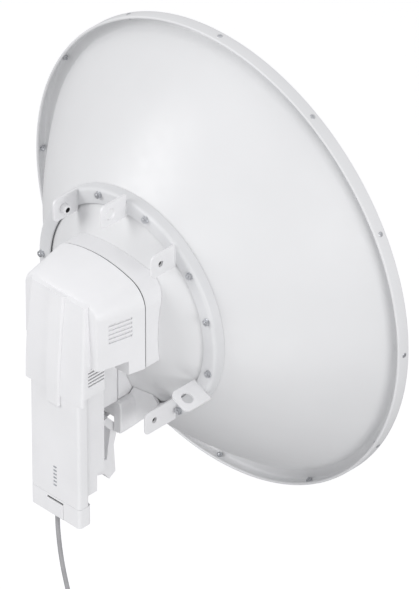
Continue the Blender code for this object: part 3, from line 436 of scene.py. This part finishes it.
def cable_route():
    """Down from the jack, then three outer and three inner turns of the coil."""
    coil_x, _, coil_z = COIL_CENTRE
    side = coil_x - COIL_RADIUS - CABLE_RADIUS
    drop = [
        (CABLE_X, CABLE_Y, CABLE_START),
        (CABLE_X, CABLE_Y, -0.2620),
        (CABLE_X, CABLE_Y, -0.2740),
        (CABLE_X - 0.0004, CABLE_Y, -0.2880),
        (CABLE_X - 0.0020, CABLE_Y, -0.3060),
        (CABLE_X - 0.0050, CABLE_Y, -0.3280),
        (CABLE_X - 0.0098, CABLE_Y, -0.3520),
        (CABLE_X - 0.0172, CABLE_Y, -0.3790),
        (CABLE_X - 0.0256, CABLE_Y, -0.4040),
        (side, CABLE_Y, coil_z + COIL_ENTRY),
    ]
    pitch = CABLE_RADIUS * 2 + 0.0001
    per_turn = 36
    inward_from, rise_from, change_over = 2.75, 5.75, 0.5
    outer, inner = COIL_RADIUS + CABLE_RADIUS, COIL_RADIUS - CABLE_RADIUS
    winding = []
    total = COIL_TURNS * per_turn + per_turn // 4
    for step in range(total + 1):
        turns = step / per_turn
        change = min(max((turns - inward_from) / change_over, 0.0), 1.0)
        ease = change * change * (3 - 2 * change)
        radius = outer + (inner - outer) * ease
        y = CABLE_Y - pitch * min(turns, COIL_TURNS - turns, COIL_TURNS // 2)
        if turns > rise_from:
            rise = (pitch * 1.25 + TAIL_GAP) * (turns - rise_from) / change_over
            y = CABLE_Y - pitch * 0.25 + rise
        angle = math.pi + 2 * math.pi * turns
        winding.append((coil_x + radius * math.cos(angle), y, coil_z + radius * math.sin(angle)))
    return drop, winding


def add_cable():
    """The cable from the jack to the plug. Its far end leaves the bottom of the coil."""
    drop, winding = cable_route()
    coil_x, _, coil_z = COIL_CENTRE
    low = coil_z - COIL_RADIUS + CABLE_RADIUS
    tail_y = CABLE_Y + CABLE_RADIUS * 2 + TAIL_GAP
    tail = [
        (coil_x + 0.0110, tail_y, low - 0.0018),
        (coil_x + 0.0210, tail_y, low - 0.0085),
        (coil_x + 0.0275, tail_y, low - 0.0190),
        (coil_x + 0.0298, tail_y, low - 0.0310),
        (coil_x + 0.0300, tail_y, low - 0.0420),
    ]
    end = smooth_path([winding[-1]] + tail, 4)[1:]
    route = smooth_path(drop, 4)[:-1] + [Vector(p) for p in winding] + end
    cable = wire(
        "outdoor_data_cable", route, CABLE_RADIUS, JACKET, "radio", "cable_jacket",
        "data_cable", "cable_coil", "cable_tail",
    )


def carry_over():
    """Every solid gets the finish of its material slot."""
    finishes = {
        "dish_paint": DISH_PAINT, "ring_paint": SHADED_RING_PAINT, "steel": STEEL,
        "aluminium": ALUMINIUM, "gold": GOLD, "rubber": RUBBER, "board": BOARD,
        "white_plastic": PLASTIC, "feed_plastic": FEED_PLASTIC, "dark_plastic": DARK_PLASTIC,
        "light_pipe": SMOKED, "cable_jacket": JACKET, "plug_plastic": CLEAR_PLUG,
    }
    for name, obj in frame["nodes"].items():
        for material_slot in obj.material_slots:
            material_slot.material = finishes[SLOTS[name]]


# Softened solids ----------------------------------------------------------------------------------


FLAT_WITHIN, EDGE_ABOVE = math.radians(0.6), math.radians(32)


def soften(node_name, finish, width, segments):
    """A skin in the solid's place, with its flat faces made whole and its edges rounded."""
    bm = bmesh.new()
    bm.from_mesh(frame["nodes"][node_name].data)
    bmesh.ops.remove_doubles(bm, verts=bm.verts, dist=0.00001)
    bmesh.ops.dissolve_limit(bm, angle_limit=FLAT_WITHIN, verts=bm.verts, edges=bm.edges)
    mesh = mesh_from(f"{node_name}_skin", bm)
    body, slot = BODY_OF[node_name], SLOTS[node_name]
    obj = add(f"{node_name}_skin", mesh, finish, body, slot, node_name, smooth=180)
    bevel = obj.modifiers.new("edges", "BEVEL")
    bevel.width = width
    bevel.segments = segments
    bevel.limit_method = "ANGLE"
    bevel.angle_limit = EDGE_ABOVE
    bevel.miter_outer = "MITER_ARC"
    weighted = obj.modifiers.new("shade", "WEIGHTED_NORMAL")
    weighted.keep_sharp = True
    weighted.weight = 60


# Each softened solid, its finish, and its edges' width and number of segments
SOFTENED = (
    ("shroud_cover", PLASTIC, 0.0006, 2),
    ("feed_housing_base", PLASTIC, 0.0006, 2),
    ("radio_rear_shell", PLASTIC, 0.0005, 2),
    ("radio_base_shell", PLASTIC, 0.0005, 2),
    ("port_cover", PLASTIC, 0.0005, 2),
    ("radio_cradle", PLASTIC, 0.0008, 2),
    ("cradle_foot", PLASTIC, 0.0010, 3),
    ("latch_lever", PLASTIC, 0.0007, 2),
    ("feed_block", ALUMINIUM, 0.0003, 2),
    ("hub_flange", ALUMINIUM, 0.0004, 2),
    ("mast_ear_upper_left", LIT_EAR_PAINT, 0.0006, 2),
    ("mast_ear_upper_right", LIT_EAR_PAINT, 0.0006, 2),
    ("mast_ear_lower_left", LIT_EAR_PAINT, 0.0006, 2),
    ("mast_ear_lower_right", LIT_EAR_PAINT, 0.0006, 2),
    ("radial_lug_top", LIT_EAR_PAINT, 0.0006, 2),
    ("radial_lug_right", LIT_EAR_PAINT, 0.0006, 2),
    ("radial_lug_left", LIT_EAR_PAINT, 0.0006, 2),
)


# Dish and ring ------------------------------------------------------------------------------------


def sheet_front(radius):
    """The front of the sheet opposite a point on its back, as (radius, y)."""
    lean = math.atan(radius / (2 * FOCAL))
    return radius - SHEET * math.sin(lean), dish_back(radius) - SHEET * math.cos(lean)


def arc(centre, radius, start, end, steps):
    """Points on an arc in a profile, angles in degrees."""
    turns = [math.radians(start + (end - start) * k / steps) for k in range(steps + 1)]
    return [(centre[0] + radius * math.cos(t), centre[1] + radius * math.sin(t)) for t in turns]


def add_dish():
    """The spun dish: a paraboloid, a flat floor at its edge, a return skirt and a rolled hem."""
    steps = 40
    radii = [CENTRE_HOLE + (BOWL_RADIUS - CENTRE_HOLE) * k / steps for k in range(steps + 1)]
    back = [(radius, dish_back(radius)) for radius in radii]
    front_y = RIM_REAR - SKIRT_DEPTH
    floor = front_y + SHEET * 1.6
    inside = RIM_RADIUS - SHEET
    hem_radius, fillet, corner = 0.0019, 0.0030, 0.0022
    hem = RIM_RADIUS - 2 * hem_radius
    profile = back
    profile += [(BOWL_RADIUS + 0.0014, floor + 0.0012), (BOWL_RADIUS + 0.0035, floor)]
    profile += arc((inside - fillet, floor + fillet), fillet, -90, 0, 5)
    profile += [(inside, RIM_REAR - 0.0056)]
    profile += arc((hem + hem_radius, RIM_REAR - hem_radius), hem_radius, 200, 0, 10)
    profile += arc((RIM_RADIUS - corner, front_y + corner), corner, 0, -90, 5)
    profile += [(BOWL_RADIUS + 0.0020, front_y), (BOWL_RADIUS + 0.0002, front_y + 0.0008)]
    profile += [sheet_front(radius) for radius in reversed(radii[1:-1])]
    profile += [(CENTRE_HOLE, sheet_front(CENTRE_HOLE)[1])]
    mesh = turned("dish_skin", profile, 240, "Y", loop=True)
    add("dish_skin", mesh, DISH_PAINT, "structure", "dish_paint", "reflector_dish", smooth=50)


def add_ring():
    """The pressed ring: a flat bolting band, a rounded outer bend and a lip that meets the dish."""
    front = RING_BACK - RING_SHEET
    bend, edge, clearance = 0.0050, 0.0010, 0.0007
    foot_out = dish_back(RING_OUTER) + clearance
    foot_in = dish_back(RING_OUTER - RING_SHEET) + clearance
    profile = arc((RING_INNER + edge, RING_BACK - edge), edge, 180, 90, 3)
    profile += arc((RING_OUTER - bend, RING_BACK - bend), bend, 90, 0, 10)
    profile += [(RING_OUTER, foot_out), (RING_OUTER - RING_SHEET, foot_in)]
    profile += arc((RING_OUTER - bend, RING_BACK - bend), bend - RING_SHEET, 0, 90, 8)
    profile += [(RING_INNER + 0.0005, front), (RING_INNER, front + 0.0005)]
    mesh = turned("ring_skin", profile, 200, "Y", loop=True)
    add("ring_skin", mesh, SHADED_RING_PAINT, "structure", "ring_paint", "mounting_ring", smooth=40)


def weld_bead(start, end, radius, seed):
    """A hand-laid bead between two points: a rippled round strip."""
    start, end = Vector(start), Vector(end)
    steps, sides = 22, 8
    along = (end - start).normalized()
    side = along.orthogonal().normalized()
    up = along.cross(side)
    bm = bmesh.new()
    rings = []
    for k in range(steps + 1):
        t = k / steps
        swell = math.sin(math.pi * min(1.0, max(0.04, t * 0.96 + 0.02))) ** 0.3
        ripple = 1 + 0.10 * math.sin(k * 2.1 + seed) + 0.05 * math.sin(k * 5.3 + seed * 2)
        size = radius * swell * ripple
        centre = start + (end - start) * t
        turns = [2 * math.pi * m / sides for m in range(sides)]
        places = [centre + (side * math.cos(a) + up * math.sin(a)) * size for a in turns]
        rings.append([bm.verts.new(place) for place in places])
    bridge(bm, rings)
    bm.faces.new(rings[0])
    bm.faces.new(rings[-1])
    return mesh_from("bead", bm)


def add_weld_beads():
    """A bead down each side of every ear and lug, where it stands on the ring."""
    beads = []
    seat = RING_BACK + 0.0004
    for x, z in ((EAR_X, EAR_Z), (-EAR_X, EAR_Z), (EAR_X, -EAR_Z), (-EAR_X, -EAR_Z)):
        for side in PLATE_SIDES:
            ends = [(x + side, seat, z + reach) for reach in (-0.0140, 0.0150)]
            beads.append(weld_bead(*ends, BEAD_RADIUS, x * 900 + side * 4000))
    for angle in LUG_ANGLES:
        across = Vector((-math.sin(math.radians(angle)), 0, math.cos(math.radians(angle))))
        for side in PLATE_SIDES:
            ends = [on_circle(angle, reach, seat) + across * side for reach in (0.1395, 0.1530)]
            beads.append(weld_bead(*ends, BEAD_RADIUS, angle + side * 4000))
    mesh = joined("ring_weld_beads", beads)
    add("ring_weld_beads", mesh, SHADED_RING_PAINT, "structure", "ring_paint", smooth=60)


# Fasteners ----------------------------------------------------------------------------------------


def nut_mesh(flats, height, bore):
    """A hex nut with chamfered corners on z = 0: its width across flats and its bore's radius."""
    bm = bmesh.new()
    corner = flats / math.sqrt(3)
    chamfer = corner * 0.09
    count = 24
    rows = []
    rise = chamfer * 0.6
    levels = ((0.0, chamfer), (rise, 0.0), (height - rise, 0.0), (height, chamfer))
    for level, shrink in levels:
        row = []
        for k in range(count):
            turn = 2 * math.pi * k / count
            fold = (turn + math.pi / 6) % (math.pi / 3) - math.pi / 6
            reach = min((flats / 2) / math.cos(fold), corner - shrink)
            row.append(bm.verts.new((reach * math.cos(turn), reach * math.sin(turn), level)))
        rows.append(row)
    for level in (height, height - NUT_BEVEL, NUT_BEVEL, 0.0):
        radius = bore + (NUT_BEVEL if level in (height, 0.0) else 0.0)
        rows.append(ring_of_verts(bm, radius, level, count))
    bridge(bm, rows + rows[:1])
    return mesh_from("nut", bm)


def stud_mesh(radius, low, high, pitch=0.001):
    """A threaded end: ridges a pitch apart, with a chamfered tip."""
    profile = [(0.0, high), (radius - pitch * 0.6, high)]
    count = int((high - low) / pitch)
    for k in range(count):
        top = high - pitch * (k + 0.35)
        profile += [(radius, top), (radius - pitch * 0.45, top - pitch * 0.5)]
    profile += [(radius, low), (0.0, low)]
    return turned("stud", profile, 20)


def washer_mesh(outer, inner, height):
    edge = height * 0.25
    profile = [
        (inner, height), (outer - edge, height), (outer, height - edge),
        (outer, edge), (outer - edge, 0.0), (inner, 0.0),
    ]
    return turned("washer", profile, 28, loop=True)


def screw_head(radius, height, recess="cross"):
    """A domed head on z = 0 with a recess in its top."""
    dome = [(0.0, height)]
    for k in range(1, 7):
        turn = math.radians(90 - 15 * k)
        dome.append((radius * math.cos(turn), height * (0.35 + 0.65 * math.sin(turn))))
    dome += [(radius, height * 0.1), (radius * 0.96, 0.0), (0.0, 0.0)]
    head = turned("screw_head", dome, 28)
    obj = bpy.data.objects.new("screw_head", head)
    bpy.context.scene.collection.objects.link(obj)
    tools = []
    depth = height * 0.62
    if recess == "cross":
        wide, thin = radius * 1.05, radius * 0.24
        for across, along in ((wide, thin), (thin, wide)):
            tools.append(block_mesh((across, along, depth * 2), (0, 0, height)))
    else:
        socket = radius * 0.52
        cut = turned("socket", [(0.0, depth), (socket, depth), (socket, -depth), (0.0, -depth)], 6)
        cut.transform(Matrix.Translation((0, 0, height)))
        tools.append(cut)
    return carved(obj, tools)


def block_mesh(size, centre):
    bm = bmesh.new()
    matrix = Matrix.Translation(centre) @ Matrix.Diagonal((*size, 1.0))
    bmesh.ops.create_cube(bm, size=1.0, matrix=matrix)
    return mesh_from("block", bm)


def carved(obj, tools):
    """The object's mesh with each tool cut out of it. The object is removed."""
    cutters = []
    for tool in tools:
        cutter = bpy.data.objects.new("cutter", tool)
        bpy.context.scene.collection.objects.link(cutter)
        cutters.append(cutter)
        cut = obj.modifiers.new("cut", "BOOLEAN")
        cut.operation = "DIFFERENCE"
        cut.solver = "EXACT"
        cut.object = cutter
    bpy.context.view_layer.update()
    graph = bpy.context.evaluated_depsgraph_get()
    mesh = bpy.data.meshes.new_from_object(obj.evaluated_get(graph))
    for extra in [obj] + cutters:
        bpy.data.objects.remove(extra, do_unlink=True)
    return mesh


def add_ring_bolts():
    """A washer, nut and stud's end at each bolt behind the ring, and a head inside the dish."""
    places = [on_circle(angle, BOLT_CIRCLE, RING_BACK) for angle in BOLT_ANGLES]
    seats = [Matrix.Translation(place) @ ORIENT["Y"] for place in places]
    washers = spaced(washer_mesh(0.0050, 0.0029, WASHER_HEIGHT), seats)
    add("ring_washers", washers, ZINC, "structure", "steel", smooth=40)
    nut = nut_mesh(0.0080, 0.0036, 0.0024)
    nut.transform(Matrix.Translation((0, 0, WASHER_HEIGHT)))
    turned_nuts = [seat @ Matrix.Rotation(0.7 * k, 4, "Z") for k, seat in enumerate(seats)]
    add("ring_nuts", spaced(nut, turned_nuts), ZINC, "structure", "steel", smooth=28)
    stud = stud_mesh(0.0025, -0.0005, 0.0060)
    add("ring_studs", spaced(stud, seats), ZINC, "structure", "steel", smooth=50)
    heads = []
    for angle in BOLT_ANGLES:
        lean = math.atan(BOLT_CIRCLE / (2 * FOCAL))
        outward = on_circle(angle, 1.0, 0.0)
        radius = BOLT_CIRCLE - SHEET * math.sin(lean)
        place = on_circle(angle, radius, dish_back(BOLT_CIRCLE) - SHEET * math.cos(lean))
        facing = (outward * -math.sin(lean) + Vector((0, -math.cos(lean), 0))).normalized()
        turn = Vector((0, 0, 1)).rotation_difference(facing).to_matrix().to_4x4()
        heads.append(Matrix.Translation(place) @ turn)
    mesh = spaced(screw_head(0.0050, 0.0026), heads)
    add("ring_bolt_heads", mesh, ZINC, "structure", "steel", smooth=35)


def rim_frames():
    """Local Z outwards at each rim screw."""
    frames = []
    for index in range(RIM_SCREWS):
        turn = Matrix.Rotation(-2 * math.pi * index / RIM_SCREWS, 4, "Y")
        frames.append(Matrix.Translation((0, RIM_REAR - 0.0095, 0)) @ turn @ ORIENT["X"])
    return frames


def add_rim_screws():
    """A flat head outside the skirt at each screw, and its nut and threaded end inside."""
    on_skirt = Matrix.Translation((0, 0, RIM_RADIUS - 0.0001))
    outside = [place @ on_skirt for place in rim_frames()]
    heads = spaced(screw_head(0.0034, 0.0009), outside)
    add("rim_screw_heads", heads, ZINC, "structure", "steel", smooth=35)
    flip = Matrix.Rotation(math.pi, 4, "X")
    in_skirt = Matrix.Translation((0, 0, RIM_RADIUS - SHEET))
    inside = [place @ in_skirt @ flip for place in rim_frames()]
    nuts = spaced(nut_mesh(0.0070, 0.0030, 0.0020), inside)
    add("rim_nuts", nuts, ZINC, "structure", "steel", smooth=28)
    ends = spaced(stud_mesh(0.0019, -0.0018, 0.0052, 0.0008), inside)
    add("rim_screw_ends", ends, ZINC, "structure", "steel", smooth=50)


def add_small_screws():
    """The socket screws in the hub flange, and the cross screws in the housing and the radio."""
    hub = [
        Matrix.Translation(on_circle(angle, HUB_SCREW_CIRCLE, FLANGE_BACK)) @ ORIENT["Y"]
        for angle in (45, 135, 225, 315)
    ]
    mesh = spaced(screw_head(0.0034, 0.0026, "socket"), hub)
    add("hub_screws", mesh, STEEL, "structure", "steel", smooth=35)
    boss_back, radio_front = 0.0140, 0.0500
    bosses = [Matrix.Translation((x, boss_back, z)) @ ORIENT["Y"] for x, z in HOUSING_SCREWS]
    mesh = spaced(screw_head(0.0036, 0.0022), bosses)
    add("housing_screws", mesh, STEEL, "structure", "steel", smooth=35)
    flip = Matrix.Rotation(math.pi, 4, "X")
    radio = [
        Matrix.Translation((x, radio_front, z)) @ ORIENT["Y"] @ flip
        for x in (-0.0330, 0.0330)
        for z in (-0.0520, -0.1230, -0.1930)
    ]
    mesh = spaced(screw_head(0.0030, 0.0014), radio)
    add("radio_screws", mesh, STEEL, "radio", "steel", smooth=35)


# Feed ---------------------------------------------------------------------------------------------


def add_feed():
    """The tube, its plug, the splash plate and the cap, all turned fine."""
    bore, rear = FEED_RADIUS - 0.002, FLANGE_BACK - 0.0002
    horn = [
        (FEED_RADIUS, rear), (FEED_RADIUS, FEED_MOUTH + 0.0004),
        (FEED_RADIUS - 0.0004, FEED_MOUTH), (bore, FEED_MOUTH), (bore, rear),
    ]
    mesh = turned("feed_tube_skin", horn, 96, "Y", loop=True)
    add("feed_tube_skin", mesh, ALUMINIUM, "structure", "aluminium", "feed_tube", smooth=40)
    plug_radius = FEED_RADIUS - 0.0023
    seat = FEED_MOUTH - 0.0003
    cone = [
        (0.0, FEED_MOUTH + 0.030), (plug_radius, FEED_MOUTH + 0.014), (plug_radius, seat),
        (FEED_RADIUS + 0.001, seat), (FEED_RADIUS + 0.0022, FEED_MOUTH - 0.0016),
        (SPLASH_RADIUS - 0.004, FEED_MOUTH - 0.0180), (0.0, FEED_MOUTH - 0.0110),
    ]
    mesh = turned("feed_dielectric_skin", cone, 96, "Y")
    add(
        "feed_dielectric_skin", mesh, FEED_PLASTIC, "structure", "feed_plastic",
        "feed_dielectric", smooth=30,
    )
    back = FEED_MOUTH - 0.0113
    edge = SPLASH_RADIUS - 0.0004
    splash = [
        (0.0, back), (SPLASH_RADIUS - 0.004, back - 0.0073), (edge, back - 0.0074),
        (SPLASH_RADIUS, back - 0.0078), (SPLASH_RADIUS, back - 0.0096), (edge, back - 0.0100),
        (0.0, back - 0.0040),
    ]
    mesh = turned("subreflector_skin", splash, 96, "Y")
    add(
        "subreflector_skin", mesh, ALUMINIUM, "structure", "aluminium", "subreflector", smooth=30
    )
    inside = SPLASH_RADIUS + 0.0012
    floor = back - 0.0112
    lip, shoulder, outside = back + 0.004, back + 0.0036, inside + 0.002
    front, groove = floor - 0.003, floor - 0.0026
    cap = [(0.0, floor - 0.001), (inside - 0.0005, floor - 0.001)]
    cap += [(inside, floor - 0.0005), (inside, shoulder)]
    cap += [(inside + 0.0004, lip), (inside + 0.0016, lip), (outside, shoulder)]
    cap += [(outside, floor - 0.0005)]
    cap += arc((inside - 0.0005, floor - 0.0005), 0.0025, 0, -90, 6)
    cap += [(0.0300, front), (0.0290, groove), (0.0280, groove), (0.0270, front)]
    cap += [(0.0, front)]
    mesh = turned("feed_cap_skin", cap, 128, "Y")
    add("feed_cap_skin", mesh, GLOSS_PLASTIC, "structure", "white_plastic", "feed_cap", smooth=35)


# Nuts, ports and jumpers --------------------------------------------------------------------------


def add_clinch_nuts():
    """The painted barrel on each ear's inner face, and the thread inside it, coloured near-black as
    painted shade in the bore.
    """
    outer, bore, height = 0.0064, 0.0037, 0.0080
    profile = [(0.0060, height), (outer, 0.0076), (outer, 0.0006), (0.0062, 0.0)]
    profile += [(bore, 0.0), (bore, height)]
    barrel = turned("clinch_nut", profile, 40, loop=True)
    ridges, pitch = 7, 0.0010
    profile = [(0.0038, 0.0077), (0.0038, 0.0003)]
    for k in range(ridges):
        z = 0.0005 + k * pitch
        profile += [(0.0035, z), (0.0033, z + 0.0005)]
    profile += [(0.0035, 0.0077)]
    thread = turned("clinch_thread", profile, 32, loop=True)
    inner_face, hole_inset = 0.0852, 0.0165
    flip = Matrix.Rotation(math.pi, 4, "X")
    for level, z, reach in (("upper", EAR_Z, 0.015), ("lower", -EAR_Z, 0.027)):
        for side, sign in (("left", 1), ("right", -1)):
            turn = ORIENT["X"] if sign < 0 else ORIENT["X"] @ flip
            seat = Matrix.Translation((sign * inner_face, reach - hole_inset, z)) @ turn
            name = f"clinch_nut_{level}_{side}"
            add(
                f"{name}_skin", barrel.copy(), LIT_EAR_PAINT, "structure", "ring_paint",
                name, matrix=seat, smooth=35,
            )
            # The thread's near-black colour is painted shade in the bore
            add(
                f"{name}_thread", thread.copy(), PAINTED_BORE_SHADE, "structure", "steel",
                matrix=seat, smooth=35,
            )


def coax_port_mesh(low, shoulder, tip, narrow, wide):
    """A threaded coax port: a wide shoulder, then a thread with a chamfered tip."""
    pitch, bevel = 0.0008, 0.0003
    profile = [(0.0, tip), (narrow - 0.0004, tip)]
    count = int((tip - shoulder - pitch) / pitch)
    for k in range(count):
        top = tip - bevel - pitch * k
        profile += [(narrow, top), (narrow - bevel, top - 0.0004)]
    profile += [(narrow - 0.0001, shoulder), (wide - bevel, shoulder), (wide, shoulder - bevel)]
    profile += [(wide, low), (0.0, low)]
    return turned("coax_port", profile, 32)


def add_ports():
    """The feed block's ports, the radio's, and the jumpers that bend down between them."""
    back, block_z, radio_y, radio_z = 0.048, 0.010, 0.0733, -0.040
    for side, x in (("left", 0.016), ("right", -0.016)):
        seat = Matrix.Translation((x, 0, block_z)) @ ORIENT["Y"]
        mesh = coax_port_mesh(back + 0.0003, back + 0.0025, back + 0.0090, 0.0032, 0.0048)
        name = f"coax_port_{side}"
        add(f"{name}_skin", mesh, GOLD, "structure", "gold", name, matrix=seat, smooth=35)
        mesh = coax_port_mesh(-0.0027, 0.0030, 0.0090, 0.0031, 0.0048)
        name = f"radio_port_{side}"
        seat = Matrix.Translation((x, radio_y, radio_z))
        add(f"{name}_skin", mesh, GOLD, "radio", "gold", name, matrix=seat, smooth=35)
        start, bend, steps = back + 0.0093, 0.013, 24
        turn_from = start + 0.003
        points = [(x, y, block_z) for y in (start, start + 0.0015, turn_from)]
        for k in range(1, steps + 1):
            turn = math.radians(90 * k / steps)
            y, z = turn_from + bend * math.sin(turn), block_z - bend * (1 - math.cos(turn))
            points.append((x, y, z))
        points += [(x, turn_from + bend, z) for z in (-0.010, -0.018, -0.025, -0.0307)]
        name = f"coax_jumper_{side}"
        wire(f"{name}_skin", points, 0.0018, DARK_PLASTIC, "structure", "dark_plastic", name)


def add_louvres():
    """Sloping slats in the shroud's side slots. The outer edge of each is the lower one."""
    wall = ((0.0377, 0.07685), (0.0450, 0.0752), (0.0713, 0.06915))  # y, x
    count, top, pitch = 5, 0.0468, 0.0064
    outer, inner, rise, crest, thick = -0.0020, -0.0052, 0.0036, 0.0045, 0.0009
    bm = bmesh.new()
    for sign in (1, -1):
        for k in range(count):
            low = top - pitch * k
            section = (
                (outer, low), (inner, low + rise), (inner, low + crest), (outer, low + thick)
            )
            rings = []
            for y, x in wall:
                rings.append([bm.verts.new((sign * (x + inward), y, z)) for inward, z in section])
            bridge(bm, rings)
            bm.faces.new(rings[0])
            bm.faces.new(rings[-1])
    mesh = mesh_from("louvre_slats", bm)
    add("louvre_slats", mesh, PLASTIC, "shroud", "white_plastic", smooth=30)


def add_spring():
    """The coil spring behind the lever, along X."""
    turns, per_turn = 3, 32
    pin_y, pin_z, radius, width = 0.0545, -0.215, 0.0031, 0.0080
    points = []
    for step in range(turns * per_turn + 1):
        turn = 2 * math.pi * step / per_turn
        x = -0.0040 + width * step / (turns * per_turn)
        points.append((x, pin_y + radius * math.cos(turn), pin_z + radius * math.sin(turn)))
    wire("latch_spring_skin", points, 0.0005, STEEL, "radio", "steel", "latch_spring", resolution=3)


# Making -------------------------------------------------------------------------------------------

carry_over()
add_camera()
add_cable()
add_stage()
for node_name, finish, width, segments in SOFTENED:
    soften(node_name, finish, width, segments)
add_dish()
add_ring()
add_weld_beads()
add_ring_bolts()
add_rim_screws()
add_small_screws()
add_feed()
add_clinch_nuts()
add_ports()
add_louvres()
add_spring()
